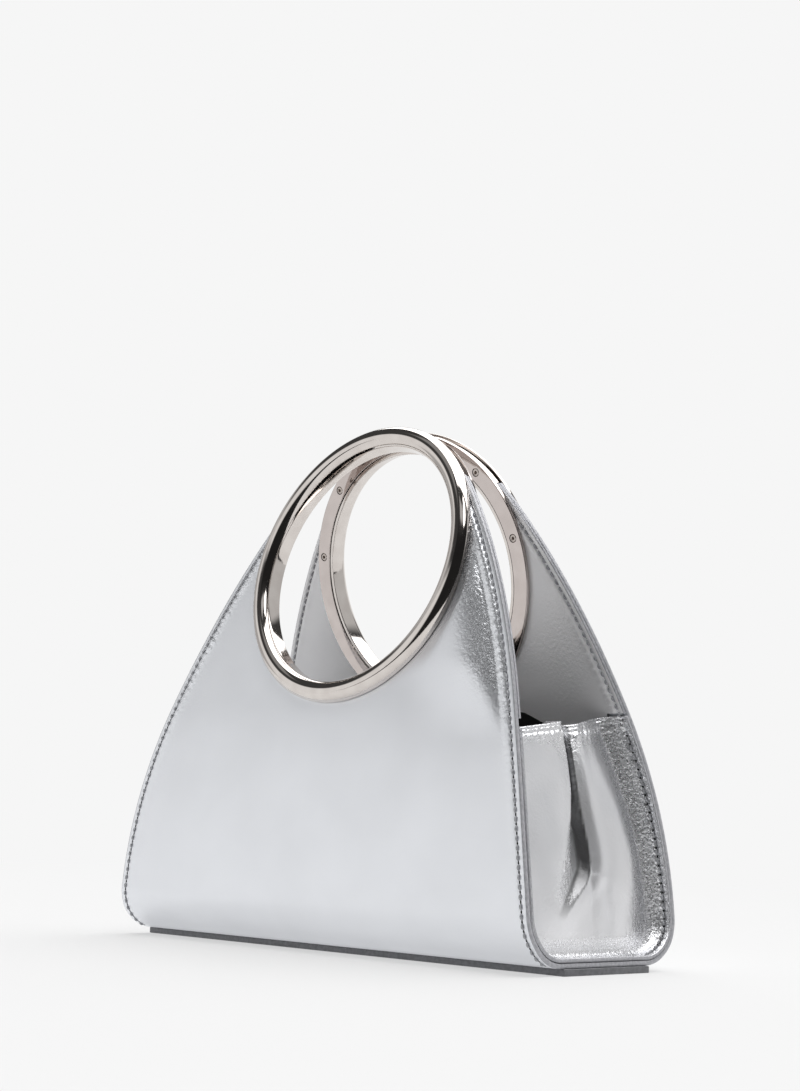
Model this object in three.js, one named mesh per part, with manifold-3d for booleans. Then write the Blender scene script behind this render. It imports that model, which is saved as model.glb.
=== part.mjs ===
// Ring handle bag: a small handbag of metallic leather, carried by two metal ring handles.
// Millimetres, +Z up, +X along the bag's length, the front at -Y.
// The origin is the middle of the base plate's underside.

import * as THREE from 'three';
import { mergeVertices } from 'three/addons/utils/BufferGeometryUtils.js';
import Module from 'manifold-3d';

const wasm = await Module();
wasm.setup();

// Driving dimensions: the body

const bodyLength = 202;        // length of the wrap at its base
const bodyDepth = 74.6;        // outside depth at the fullest place
const bendRadius = 15.9;       // outside radius of the bend between base and panel
const uprightHeight = 3.1;     // upright stretch of a panel above the bend
const edgeRun = 101;           // how far up the side edge stays nearly straight
const edgeSlant = 4.3;         // degrees, how much the side edge leans in over that run
const plateLength = 204;       // base plate
const plateThickness = 2.2;
const wrapThickness = 1.7;     // outer leather
const facingThickness = 1.1;   // inner leather of the panels
const liningThickness = 0.6;
const layerGap = 0.2;          // glue line between two layers
const clearance = 0.3;         // between pieces that sit in or beside each other

// Driving dimensions: the gussets

const gussetHeight = 79;       // top edge above the floor
const gussetThickness = 1.1;
const flangeWidth = 6.5;       // turned-out strip sewn to the wrap
const gussetBulge = 2.5;       // how far each half swells outward
const pleatDepth = 14;         // fold at the top edge
const pleatFoot = 18;          // height where the fold runs out
const pleatMouth = 3.2;        // opening of the fold at the top edge
const pleatSpread = 12;        // opening of the fold at its foot
const pleatFloor = 1.6;        // width of the fold's bottom

// Driving dimensions: the ring handles

const ringCentreHeight = 135.4;
const ringDiameter = 104;
const ringWidth = 7.6;         // from the hole to the outside
const ringDepth = 8.6;         // inner face to crown
const crownHeight = 2.8;       // rounded part of the depth
const collarWall = 1.2;        // inner wall that passes through the leather
const ringPlateThickness = 1.4;
const plateChamfer = 0.3;
const rimRecess = 0.8;         // the spacer's outside lies this far in from the ring's outside
const ringTopGap = 0.6;        // between the two rings where their tops meet
const ringSeatMargin = 1;      // flat leather below the ring
const armAngle = 35;           // degrees above the ring's centre where the leather ends
const screwAngles = [12, 45, 135, 168];
const screwHeadDiameter = 2.7;
const screwHeadHeight = 1;
const screwShankDiameter = 1.8;
const socketDiameter = 1.1;
const socketDepth = 0.7;
const screwReach = 2;          // shank length inside the shell
const ringSides = 56;          // flats that stand in for a full turn
const screwSides = 10;

// Worked out from the driving dimensions

const degrees = Math.PI / 180;
const halfDepth = bodyDepth / 2;
const baseLevel = plateThickness;
const flatHalf = halfDepth - bendRadius;
const plateDepth = 2 * flatHalf;
const bendLength = (bendRadius * Math.PI) / 2;
const bendTop = baseLevel + bendRadius;
const leanStart = bendTop + uprightHeight;
const ringRadius = ringDiameter / 2;
const holeRadius = ringRadius - ringWidth;
const collarRadius = holeRadius + collarWall;
const leatherHoleRadius = collarRadius + clearance;
const secondLayer = wrapThickness + layerGap;
const stackDepth = secondLayer + facingThickness + layerGap + ringPlateThickness;
const screwCircle = (leatherHoleRadius + ringRadius) / 2;
const screwHoleRadius = screwShankDiameter / 2 + clearance;

// Each panel curves inward from the upright stretch until it meets the flat seat of its ring.
function leanRadius(lean) {
  const rise = ringCentreHeight - (ringRadius + ringSeatMargin) * Math.cos(lean) - leanStart;
  return rise / Math.sin(lean);
}

// Distance from the bag's middle to the inner face of a ring's top, at a given lean.
function ringTopDistance(lean) {
  const seatBottom = halfDepth - leanRadius(lean) * (1 - Math.cos(lean));
  const seatRun = 2 * ringRadius + ringSeatMargin;
  return seatBottom - seatRun * Math.sin(lean) - stackDepth * Math.cos(lean);
}

// Root of a falling or rising function between two ends.
function solve(f, low, high) {
  const sign = Math.sign(f(low));
  for (let step = 0; step < 50; step += 1) {
    const middle = (low + high) / 2;
    if (Math.sign(f(middle)) === sign) {
      low = middle;
    } else {
      high = middle;
    }
  }
  return (low + high) / 2;
}

// The two panels lean toward each other until the tops of the rings meet.
const lean = solve((angle) => ringTopDistance(angle) - ringTopGap / 2, 1 * degrees, 40 * degrees);
const curveRadius = leanRadius(lean);
const curveLength = curveRadius * lean;
const seatTravel = flatHalf + bendLength + uprightHeight + curveLength;
const ringTravel = seatTravel + ringSeatMargin + ringRadius;
const armTravel = ringTravel + ringRadius * Math.sin(armAngle * degrees);

// The wall's path: travel runs over the leather from the middle of the base, inset goes inward.
// Returns the distance from the middle and the height.
function wallPoint(travel, inset) {
  if (travel <= flatHalf) {
    return [travel, baseLevel + inset];
  }
  const onBend = travel - flatHalf;
  if (onBend <= bendLength) {
    const turn = onBend / bendRadius;
    const radius = bendRadius - inset;
    return [flatHalf + radius * Math.sin(turn), bendTop - radius * Math.cos(turn)];
  }
  const onUpright = onBend - bendLength;
  if (onUpright <= uprightHeight) {
    return [halfDepth - inset, bendTop + onUpright];
  }
  const onCurve = onUpright - uprightHeight;
  const turn = Math.min(onCurve / curveRadius, lean);
  const radius = curveRadius - inset;
  const onSeat = Math.max(onCurve - curveLength, 0);
  return [
    halfDepth - curveRadius + radius * Math.cos(turn) - onSeat * Math.sin(lean),
    leanStart + radius * Math.sin(turn) + onSeat * Math.cos(lean),
  ];
}

// The side edge in the flat pattern: travel against half width, ending on the ring's outside.
const edgeStart = new THREE.Vector2(flatHalf + bendLength * 0.6, bodyLength / 2);
const edgeEnd = new THREE.Vector2(armTravel, ringRadius * Math.cos(armAngle * degrees));
const edgeHandle = new THREE.Vector2(
  edgeStart.x + edgeRun * Math.cos(edgeSlant * degrees),
  edgeStart.y - edgeRun * Math.sin(edgeSlant * degrees),
);
const sideEdge = new THREE.CubicBezierCurve(edgeStart, edgeHandle, edgeEnd, edgeEnd);

function halfWidthAt(travel) {
  if (travel <= edgeStart.x) {
    return edgeStart.y;
  }
  const share = solve((t) => sideEdge.getPoint(t).x - travel, 0, 1);
  return sideEdge.getPoint(share).y;
}

const gussetTravel = solve((travel) => wallPoint(travel, 0)[1] - gussetHeight, flatHalf, ringTravel);

// Evenly spaced values from one end to the other, both included.
function spread(from, to, count) {
  return Array.from({ length: count + 1 }, (_, index) => from + ((to - from) * index) / count);
}

// Stations along one wall between two travels, closer on the bend.
function wallStations(from, to) {
  const curved = flatHalf + bendLength;
  const upright = curved + uprightHeight;
  const all = [
    0,
    ...spread(flatHalf, curved, 8),
    ...spread(upright, seatTravel, 9),
    ...spread(seatTravel, armTravel, 9).slice(1),
  ];
  const inside = all.filter((travel) => travel > from + 0.5 && travel < to - 0.5);
  return [from, ...inside, to];
}

// Geometry helpers

function indexedGeometry(points, triangles) {
  const geometry = new THREE.BufferGeometry();
  geometry.setAttribute('position', new THREE.Float32BufferAttribute(points.flat(), 3));
  geometry.setIndex(triangles.flat());
  return geometry;
}

function toSolid(geometry) {
  const bare = geometry.clone();
  bare.deleteAttribute('normal');
  bare.deleteAttribute('uv');
  const merged = mergeVertices(bare, 1e-4);
  const mesh = new wasm.Mesh({
    numProp: 3,
    vertProperties: new Float32Array(merged.attributes.position.array),
    triVerts: new Uint32Array(merged.index.array),
  });
  return new wasm.Manifold(mesh);
}

function fromSolid(solid) {
  const mesh = solid.getMesh();
  const geometry = new THREE.BufferGeometry();
  geometry.setAttribute('position', new THREE.BufferAttribute(mesh.vertProperties, 3));
  geometry.setIndex(new THREE.BufferAttribute(mesh.triVerts, 1));
  return geometry;
}

function cutAll(geometry, cutters) {
  const cut = cutters.reduce((solid, cutter) => solid.subtract(toSolid(cutter)), toSolid(geometry));
  return fromSolid(cut);
}

// A closed body through a row of four-sided sections.
function sweepSections(sections) {
  const points = sections.flat();
  const triangles = [];
  for (let row = 0; row < sections.length - 1; row += 1) {
    for (let side = 0; side < 4; side += 1) {
      const next = (side + 1) % 4;
      const a = row * 4 + side;
      const b = row * 4 + 4 + side;
      const c = row * 4 + 4 + next;
      const d = row * 4 + next;
      triangles.push([a, b, c], [a, c, d]);
    }
  }
  const last = (sections.length - 1) * 4;
  triangles.push([0, 1, 2], [0, 2, 3]);
  triangles.push([last, last + 2, last + 1], [last, last + 3, last + 2]);
  return indexedGeometry(points, triangles);
}

// A strip of leather along the wall's path. Front travels are negative.
function wallStrip(travels, inset, thickness, halfWidth) {
  const sections = travels.map((travel) => {
    const side = travel < 0 ? -1 : 1;
    const distance = Math.abs(travel);
    const [outerY, outerZ] = wallPoint(distance, inset);
    const [innerY, innerZ] = wallPoint(distance, inset + thickness);
    const half = halfWidth(distance);
    return [
      [-half, side * outerY, outerZ],
      [half, side * outerY, outerZ],
      [half, side * innerY, innerZ],
      [-half, side * innerY, innerZ],
    ];
  });
  return sweepSections(sections);
}

// Gives a sheet its thickness on the side away from its faces, with mitred folds.
function thicken(points, triangles, thickness) {
  const vertices = points.map((point) => new THREE.Vector3(...point));
  const normals = triangles.map(([a, b, c]) => {
    const first = vertices[b].clone().sub(vertices[a]);
    const second = vertices[c].clone().sub(vertices[a]);
    return first.cross(second).normalize();
  });
  const sums = vertices.map(() => new THREE.Vector3());
  triangles.forEach((corners, face) => {
    corners.forEach((corner, place) => {
      const one = vertices[corners[(place + 1) % 3]].clone().sub(vertices[corner]);
      const two = vertices[corners[(place + 2) % 3]].clone().sub(vertices[corner]);
      sums[corner].addScaledVector(normals[face], one.angleTo(two));
    });
  });
  const reach = vertices.map(() => 1);
  sums.forEach((sum) => sum.normalize());
  triangles.forEach((corners, face) => {
    corners.forEach((corner) => {
      reach[corner] = Math.min(reach[corner], Math.max(sums[corner].dot(normals[face]), 0.6));
    });
  });
  const backs = vertices.map((vertex, index) => {
    const step = thickness / reach[index];
    return vertex.clone().addScaledVector(sums[index], -step).toArray();
  });
  const count = points.length;
  const edges = new Set();
  triangles.forEach(([a, b, c]) => {
    edges.add(`${a} ${b}`).add(`${b} ${c}`).add(`${c} ${a}`);
  });
  const solid = [];
  triangles.forEach(([a, b, c]) => {
    solid.push([a, b, c], [a + count, c + count, b + count]);
    [[a, b], [b, c], [c, a]].forEach(([from, to]) => {
      if (!edges.has(`${to} ${from}`)) {
        solid.push([to, from, from + count], [to, from + count, to + count]);
      }
    });
  });
  return indexedGeometry([...points, ...backs], solid);
}

// Frame of a ring: x along the bag, y up the panel, z outward, on the wrap's outer face.
const [ringY, ringZ] = wallPoint(ringTravel, 0);
const frontRingFrame = new THREE.Matrix4()
  .makeRotationX(Math.PI / 2 - lean)
  .setPosition(0, -ringY, ringZ);
const halfTurn = new THREE.Matrix4().makeRotationZ(Math.PI);
const backRingFrame = halfTurn.clone().multiply(frontRingFrame);

// A round cutter along a ring's own z, between two levels.
function ringCutter(radius, from, to, segments, x = 0, y = 0) {
  const cutter = new THREE.CylinderGeometry(radius, radius, to - from, segments);
  cutter.rotateX(Math.PI / 2);
  cutter.translate(x, y, (from + to) / 2);
  return cutter;
}

function screwPlace(angle) {
  return [screwCircle * Math.cos(angle * degrees), screwCircle * Math.sin(angle * degrees)];
}

// Cutters that open the leather for a ring's collar and for the screws that pass through it.
function leatherCutters(frame) {
  const through = ringDepth;
  const hole = ringCutter(leatherHoleRadius, -through, through, ringSides);
  const screws = screwAngles
    .map(screwPlace)
    .filter(([, y]) => y < ringRadius * Math.sin(armAngle * degrees))
    .map(([x, y]) => ringCutter(screwHoleRadius, -through, through, screwSides, x, y));
  return [hole, ...screws].map((cutter) => cutter.applyMatrix4(frame));
}

// Materials

const silverLeather = { color: 0xd2d2d6, roughness: 0.32, metalness: 0.75 };
const insideLeather = { color: 0xbfc0c4, roughness: 0.45, metalness: 0.6 };
const plateLeather = { color: 0xc9c9c9, roughness: 0.5, metalness: 0.4 };
const blackLining = { color: 0x0c0c0d, roughness: 0.9, metalness: 0 };
const nickel = { color: 0xd8d2cb, roughness: 0.12, metalness: 1 };

function piece(name, geometry, look) {
  const mesh = new THREE.Mesh(geometry, new THREE.MeshStandardMaterial(look));
  mesh.name = name;
  return mesh;
}

// Body wrap: front panel, base and back panel in one strip of leather
function makeWrap() {
  const wall = wallStations(0, armTravel);
  const front = wall.slice(1).reverse().map((travel) => -travel);
  const strip = wallStrip([...front, ...wall.slice(1)], 0, wrapThickness, halfWidthAt);
  const cutters = [...leatherCutters(frontRingFrame), ...leatherCutters(backRingFrame)];
  return piece('body_wrap', cutAll(strip, cutters), silverLeather);
}

// Facing: the inner leather of one panel, from the gussets' top edge to the ring
function makeFacing(name) {
  const wall = wallStations(gussetTravel + clearance, armTravel);
  const front = wall.reverse().map((travel) => -travel);
  const strip = wallStrip(front, secondLayer, facingThickness, halfWidthAt);
  return piece(name, cutAll(strip, leatherCutters(frontRingFrame)), insideLeather);
}

// Lining: thin and black, on the inside of the wrap between the gussets
function makeLining() {
  const wall = wallStations(0, gussetTravel);
  const front = wall.slice(1).reverse().map((travel) => -travel);
  const besideGusset = flangeWidth + 2 * gussetThickness + clearance;
  const halfWidth = (travel) => halfWidthAt(travel) - besideGusset;
  const strip = wallStrip([...front, ...wall.slice(1)], secondLayer, liningThickness, halfWidth);
  return piece('lining', strip, blackLining);
}

// Gusset: a sheet with a flange sewn to the wrap all round and one inward pleat
function makeGusset(name) {
  const flangeInset = secondLayer + gussetThickness;
  const travels = wallStations(flatHalf, gussetTravel);
  const shares = [0, 0.12, 0.36, 0.64, 0.88, 1];
  const points = [];
  const grid = travels.map((travel) => {
    const [span, height] = wallPoint(travel, flangeInset);
    const root = halfWidthAt(travel) - flangeWidth;
    const rise = THREE.MathUtils.smoothstep(height, pleatFoot, gussetHeight);
    const swell = gussetBulge * THREE.MathUtils.smoothstep(height, bendTop / 2, 2 * bendTop);
    const lip = THREE.MathUtils.lerp(pleatSpread, pleatMouth, rise) / 2;
    const half = shares.map((share) => [
      root + swell * Math.sin(Math.PI * share),
      THREE.MathUtils.lerp(span, lip, share),
    ]);
    half.push([root - pleatDepth * rise, pleatFloor / 2]);
    const row = [
      ...half.map(([x, y]) => [x, -y, height]),
      ...half.reverse().map(([x, y]) => [x, y, height]),
    ];
    return row.map((point) => points.push(point) - 1);
  });
  const triangles = [];
  const columns = grid[0].length;
  for (let row = 0; row < grid.length - 1; row += 1) {
    for (let column = 0; column < columns - 1; column += 1) {
      const a = grid[row][column];
      const b = grid[row][column + 1];
      const c = grid[row + 1][column + 1];
      const d = grid[row + 1][column];
      triangles.push([a, b, c], [a, c, d]);
    }
  }
  const upFront = grid.map((row, index) => [row[0], travels[index]]).reverse();
  const acrossBase = grid[0].slice(1, -1).map((index) => [index, 0]);
  const upBack = grid.map((row, index) => [row[columns - 1], travels[index]]);
  const rim = [...upFront, ...acrossBase, ...upBack];
  const outer = rim.map(([index, travel]) => {
    const [, y, z] = points[index];
    return points.push([halfWidthAt(travel), y, z]) - 1;
  });
  for (let place = 0; place < rim.length - 1; place += 1) {
    const a = rim[place][0];
    const b = outer[place];
    const c = outer[place + 1];
    const d = rim[place + 1][0];
    triangles.push([a, b, c], [a, c, d]);
  }
  return piece(name, thicken(points, triangles, gussetThickness), silverLeather);
}

// Base plate: a flat rectangle of thick leather that the bag stands on
function makeBasePlate() {
  const box = new THREE.BoxGeometry(plateLength, plateDepth, plateThickness);
  const plate = piece('base_plate', box, plateLeather);
  plate.position.z = plateThickness / 2;
  return plate;
}

// Turns a profile of radius and level into a ring about its own z
function ringLathe(profile, segments) {
  const lathe = new THREE.LatheGeometry(profile.map(([r, z]) => new THREE.Vector2(r, z)), segments);
  lathe.rotateX(Math.PI / 2);
  return lathe;
}

// Ring shell: round crown over the panel, collar through the leather, spacer above the leather
function makeShell(name) {
  const crownTop = ringDepth - stackDepth;
  const crownFoot = crownTop - crownHeight;
  const middle = (ringRadius + holeRadius) / 2;
  const halfWidth = ringWidth / 2;
  const crown = spread(0, Math.PI, 6).map((turn) => [
    middle + halfWidth * Math.cos(turn),
    crownFoot + crownHeight * Math.sin(turn),
  ]);
  const collarEnd = -stackDepth + plateChamfer;
  const profile = [
    [holeRadius, collarEnd],
    [collarRadius, collarEnd],
    [collarRadius, layerGap],
    [ringRadius, layerGap],
    ...crown,
    [holeRadius, collarEnd],
  ];
  const body = toSolid(ringLathe(profile, ringSides));
  const armTop = ringRadius * Math.sin(armAngle * degrees) + clearance;
  const spacerOutside = ringRadius - rimRecess;
  const spacerInside = collarRadius - collarWall / 2;
  const outsideTurn = Math.asin(armTop / spacerOutside);
  const insideTurn = Math.asin(armTop / spacerInside);
  const outline = new THREE.Shape();
  outline.absarc(0, 0, spacerOutside, outsideTurn, Math.PI - outsideTurn, false);
  outline.absarc(0, 0, spacerInside, Math.PI - insideTurn, insideTurn, true);
  const spacerLow = -stackDepth + ringPlateThickness + layerGap;
  const spacer = new THREE.ExtrudeGeometry(outline, {
    depth: layerGap + crownHeight / 4 - spacerLow,
    bevelEnabled: false,
    curveSegments: ringSides / 4,
  });
  spacer.translate(0, 0, spacerLow);
  const whole = body.add(toSolid(spacer));
  const holes = screwAngles.map((angle) => {
    const [x, y] = screwPlace(angle);
    return ringCutter(screwHoleRadius, -stackDepth, layerGap + screwReach + clearance, screwSides, x, y);
  });
  return piece(name, cutAll(fromSolid(whole), holes), nickel);
}

// Ring plate: the flat inner half of a handle, with sunk holes for the screws
function makeRingPlate(name) {
  const face = -stackDepth;
  const back = face + ringPlateThickness;
  const profile = [
    [leatherHoleRadius + plateChamfer, face],
    [ringRadius - plateChamfer, face],
    [ringRadius, face + plateChamfer],
    [ringRadius, back],
    [leatherHoleRadius, back],
    [leatherHoleRadius, face + plateChamfer],
    [leatherHoleRadius + plateChamfer, face],
  ];
  const sunk = screwHeadDiameter / 2 + clearance;
  const floor = face + layerGap + screwHeadHeight;
  const holes = screwAngles.flatMap((angle) => {
    const [x, y] = screwPlace(angle);
    const head = ringCutter(sunk, face - 1, floor, screwSides, x, y);
    const shank = ringCutter(screwHoleRadius, face - 1, back + 1, screwSides, x, y);
    return [head, shank];
  });
  return piece(name, cutAll(ringLathe(profile, ringSides), holes), nickel);
}

// Screw: a sunk head with a socket, and a shank into the shell
function makeScrew(name, angle) {
  const face = -stackDepth + layerGap / 2;
  const headEnd = face + screwHeadHeight;
  const profile = [
    [0, face + socketDepth],
    [socketDiameter / 2, face + socketDepth],
    [socketDiameter / 2, face],
    [screwHeadDiameter / 2, face],
    [screwHeadDiameter / 2, headEnd],
    [screwShankDiameter / 2, headEnd],
    [screwShankDiameter / 2, layerGap + screwReach],
    [0, layerGap + screwReach],
  ];
  const screw = piece(name, ringLathe(profile, screwSides), nickel);
  const [x, y] = screwPlace(angle);
  screw.position.set(x, y, 0);
  return screw;
}

function makeHandle(side) {
  const handle = new THREE.Group();
  handle.position.set(0, -ringY, ringZ);
  handle.rotation.x = Math.PI / 2 - lean;
  handle.add(makeShell(`ring_shell_${side}`), makeRingPlate(`ring_plate_${side}`));
  screwAngles.forEach((angle, index) => {
    handle.add(makeScrew(`ring_screw_${side}_${index + 1}`, angle));
  });
  return handle;
}

function makeSide(side) {
  const group = new THREE.Group();
  group.add(makeFacing(`facing_${side}`), makeHandle(side));
  return group;
}

const front = makeSide('front');
const back = makeSide('back');
back.rotation.z = Math.PI;

const gussetRight = makeGusset('gusset_right');
const gussetLeft = makeGusset('gusset_left');
gussetLeft.rotation.z = Math.PI;

const bag = new THREE.Group();
bag.add(makeBasePlate(), makeWrap(), makeLining(), gussetRight, gussetLeft, front, back);

export default bag;
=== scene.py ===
import math

import bmesh
import bpy
import numpy as np
from mathutils import Matrix, Vector, noise


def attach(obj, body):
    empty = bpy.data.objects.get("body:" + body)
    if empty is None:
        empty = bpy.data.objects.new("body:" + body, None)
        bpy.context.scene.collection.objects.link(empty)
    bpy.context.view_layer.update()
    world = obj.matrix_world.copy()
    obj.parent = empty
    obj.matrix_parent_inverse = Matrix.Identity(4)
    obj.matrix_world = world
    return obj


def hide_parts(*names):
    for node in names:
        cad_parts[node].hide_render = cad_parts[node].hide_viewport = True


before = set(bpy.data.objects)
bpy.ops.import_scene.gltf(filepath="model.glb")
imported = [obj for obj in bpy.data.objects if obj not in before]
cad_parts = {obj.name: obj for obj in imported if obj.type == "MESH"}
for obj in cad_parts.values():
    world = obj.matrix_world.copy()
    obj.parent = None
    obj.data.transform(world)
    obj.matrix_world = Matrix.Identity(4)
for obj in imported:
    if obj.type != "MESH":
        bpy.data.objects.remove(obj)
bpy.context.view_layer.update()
print("stage: frame loaded")


def hexColor(text):
    # sRGB hex to linear
    parts = [int(text[i:i + 2], 16) / 255 for i in (1, 3, 5)]
    return tuple(c / 12.92 if c <= 0.04045 else ((c + 0.055) / 1.055) ** 2.4 for c in parts) + (1.0,)


def addNode(tree, kind, links=None, **settings):
    node = tree.nodes.new(kind)
    for key, value in settings.items():
        setattr(node, key, value)
    for socket, value in (links or {}).items():
        if isinstance(value, bpy.types.NodeSocket):
            tree.links.new(value, node.inputs[socket])
        else:
            node.inputs[socket].default_value = value
    return node


def ramp(node, stops):
    # colour ramp stops as (place, grey or hex)
    elements = node.color_ramp.elements
    while len(elements) < len(stops):
        elements.new(0.5)
    for element, (place, value) in zip(elements, stops):
        element.position = place
        element.color = hexColor(value) if isinstance(value, str) else (value, value, value, 1)
    return node.outputs[0]


def smooth(x, low, high):
    t = np.clip((np.asarray(x, float) - low) / (high - low), 0, 1)
    return t * t * (3 - 2 * t)


def bell(x, width):
    return np.exp(-(np.asarray(x, float) / width) ** 2)


def wave(x, seed):
    # smooth noise along a line, about -1 to 1; wave2 is the same over two directions
    flat = np.asarray(x, float).ravel()
    out = np.array([noise.noise(Vector((v, seed * 7.31, seed * 1.7))) for v in flat])
    return out.reshape(np.shape(x)) * 1.6


def wave2(x, y, seed):
    flatX, flatY = np.broadcast_arrays(np.asarray(x, float), np.asarray(y, float))
    out = [noise.noise(Vector((a, b, seed * 3.17))) for a, b in zip(flatX.ravel(), flatY.ravel())]
    return np.array(out).reshape(flatX.shape) * 1.6


def unit(vectors):
    return vectors / np.linalg.norm(vectors, axis=-1, keepdims=True)


def circle(sides):
    # points round a circle of radius 1
    return [(math.cos(2 * math.pi * k / sides), math.sin(2 * math.pi * k / sides)) for k in range(sides)]


def tubeFaces(rows, sides, start=0):
    # quads that join rows of points, each row closed into a ring
    return [(start + row * sides + k, start + row * sides + (k + 1) % sides,
             start + (row + 1) * sides + (k + 1) % sides, start + (row + 1) * sides + k)
            for row in range(rows - 1) for k in range(sides)]


def solveRoot(f, low, high):
    # halves the span until it holds the place where f changes sign
    sign = np.sign(f(low))
    for _ in range(50):
        middle = (low + high) / 2
        if np.sign(f(middle)) == sign:
            low = middle
        else:
            high = middle
    return (low + high) / 2


# the bag's sizes and path, in millimetres, as in the frame
body = {
    "length": 202, "depth": 74.6, "bendRadius": 15.9, "upright": 3.1,
    "edgeRun": 101, "edgeSlant": 4.3,
    "plateLength": 204, "plateThickness": 2.2,
    "wrap": 1.7, "facing": 1.1, "lining": 0.6, "glue": 0.2, "clearance": 0.3,
    "gussetHeight": 79, "gusset": 1.1, "flange": 6.5,
}
ring = {
    "centreHeight": 135.4, "diameter": 104, "width": 7.6, "depth": 8.6, "crown": 3.5,
    "collar": 1.2, "plate": 1.4, "chamfer": 0.3, "topGap": 0.6, "seatMargin": 1, "rimRecess": 0.8,
    "armAngle": 35, "screwAngles": [12, 45, 135, 168], "screwHead": 2.7, "screwGap": 0.22, "screwDeep": 1.0,
    "turns": 192,
}
stitch = {
    "pitch": 3.0, "fromEdge": 2.4, "thread": 0.9, "length": 2.15, "hole": 0.55, "smallHole": 0.33,
    # how much thinner a stitch's ends are, how high its middle lies and how far its ends dive,
    # and the half step that gives a row's direction
    "taper": 0.45, "lift": 0.34, "dive": 0.62, "probe": 0.3,
}

halfDepth = body["depth"] / 2
flatHalf = halfDepth - body["bendRadius"]
bendLength = body["bendRadius"] * math.pi / 2
bendTop = body["plateThickness"] + body["bendRadius"]
leanStart = bendTop + body["upright"]
ringRadius = ring["diameter"] / 2
holeRadius = ringRadius - ring["width"]
leatherHole = holeRadius + ring["collar"] + body["clearance"]
secondLayer = body["wrap"] + body["glue"]
thirdLayer = secondLayer + body["gusset"]
stack = secondLayer + body["facing"] + body["glue"] + ring["plate"]


def leanRadius(angle):
    # radius of the curve that takes the wall from upright to the ring's seat
    rise = ring["centreHeight"] - (ringRadius + ring["seatMargin"]) * math.cos(angle) - leanStart
    return rise / math.sin(angle)


def ringTopDistance(angle):
    # how far a ring's top stands from the middle
    seatBottom = halfDepth - leanRadius(angle) * (1 - math.cos(angle))
    return seatBottom - (2 * ringRadius + ring["seatMargin"]) * math.sin(angle) - stack * math.cos(angle)


lean = solveRoot(lambda a: ringTopDistance(a) - ring["topGap"] / 2, math.radians(1), math.radians(40))
curveRadius = leanRadius(lean)
curveLength = curveRadius * lean
seatTravel = flatHalf + bendLength + body["upright"] + curveLength
ringTravel = seatTravel + ring["seatMargin"] + ringRadius
armTravel = ringTravel + ringRadius * math.sin(math.radians(ring["armAngle"]))


def wall(travel, inset):
    # distance from the middle and height, by travel over the leather from the middle and depth into it
    t = np.abs(np.asarray(travel, float))
    inset = np.asarray(inset, float)
    onBend = t - flatHalf
    turn = np.clip(onBend / body["bendRadius"], 0, math.pi / 2)
    r = body["bendRadius"] - inset
    y = np.where(onBend <= 0, t, flatHalf + r * np.sin(turn))
    z = np.where(onBend <= 0, body["plateThickness"] + inset, bendTop - r * np.cos(turn))
    onUpright = onBend - bendLength
    y = np.where(onUpright > 0, halfDepth - inset, y)
    z = np.where(onUpright > 0, bendTop + onUpright, z)
    onCurve = onUpright - body["upright"]
    turn = np.clip(onCurve / curveRadius, 0, lean)
    r = curveRadius - inset
    onSeat = np.maximum(onCurve - curveLength, 0)
    y = np.where(onCurve > 0, halfDepth - curveRadius + r * np.cos(turn) - onSeat * math.sin(lean), y)
    z = np.where(onCurve > 0, leanStart + r * np.sin(turn) + onSeat * math.cos(lean), z)
    return y, z


edgeStart = np.array([flatHalf + bendLength * 0.6, body["length"] / 2])
edgeEnd = np.array([armTravel, ringRadius * math.cos(math.radians(ring["armAngle"]))])
slant = math.radians(body["edgeSlant"])
edgeHandle = edgeStart + body["edgeRun"] * np.array([math.cos(slant), -math.sin(slant)])
share = np.linspace(0, 1, 1501)[:, None]
bezier = ((1 - share) ** 3 * edgeStart + 3 * (1 - share) ** 2 * share * edgeHandle
          + (3 * (1 - share) * share ** 2 + share ** 3) * edgeEnd)
edgeTravel = np.concatenate([[0], bezier[:, 0]])
edgeWidth = np.concatenate([[body["length"] / 2], bezier[:, 1]])
edgeArc = np.concatenate([[0], np.cumsum(np.hypot(np.diff(edgeTravel), np.diff(edgeWidth)))])
edgeTilt = np.arctan2(-np.gradient(edgeWidth, edgeArc), np.gradient(edgeTravel, edgeArc))


def halfWidth(travel):
    return np.interp(np.abs(travel), edgeTravel, edgeWidth)


def tiltAt(travel):
    return np.interp(np.abs(travel), edgeTravel, edgeTilt)


def arcAt(travel):
    return np.interp(np.abs(travel), edgeTravel, edgeArc)


gussetTravel = solveRoot(lambda t: float(wall(t, 0)[1]) - body["gussetHeight"], flatHalf, ringTravel)


def onWall(side, x, travel, inset):
    # a point of the front (-1) or back (1) wall
    y, z = wall(travel, inset)
    return np.stack(np.broadcast_arrays(np.asarray(x, float), side * y, z), -1)


def newItem(name, mesh):
    item = bpy.data.objects.new(name, mesh)
    bpy.context.scene.collection.objects.link(item)
    return item


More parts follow.
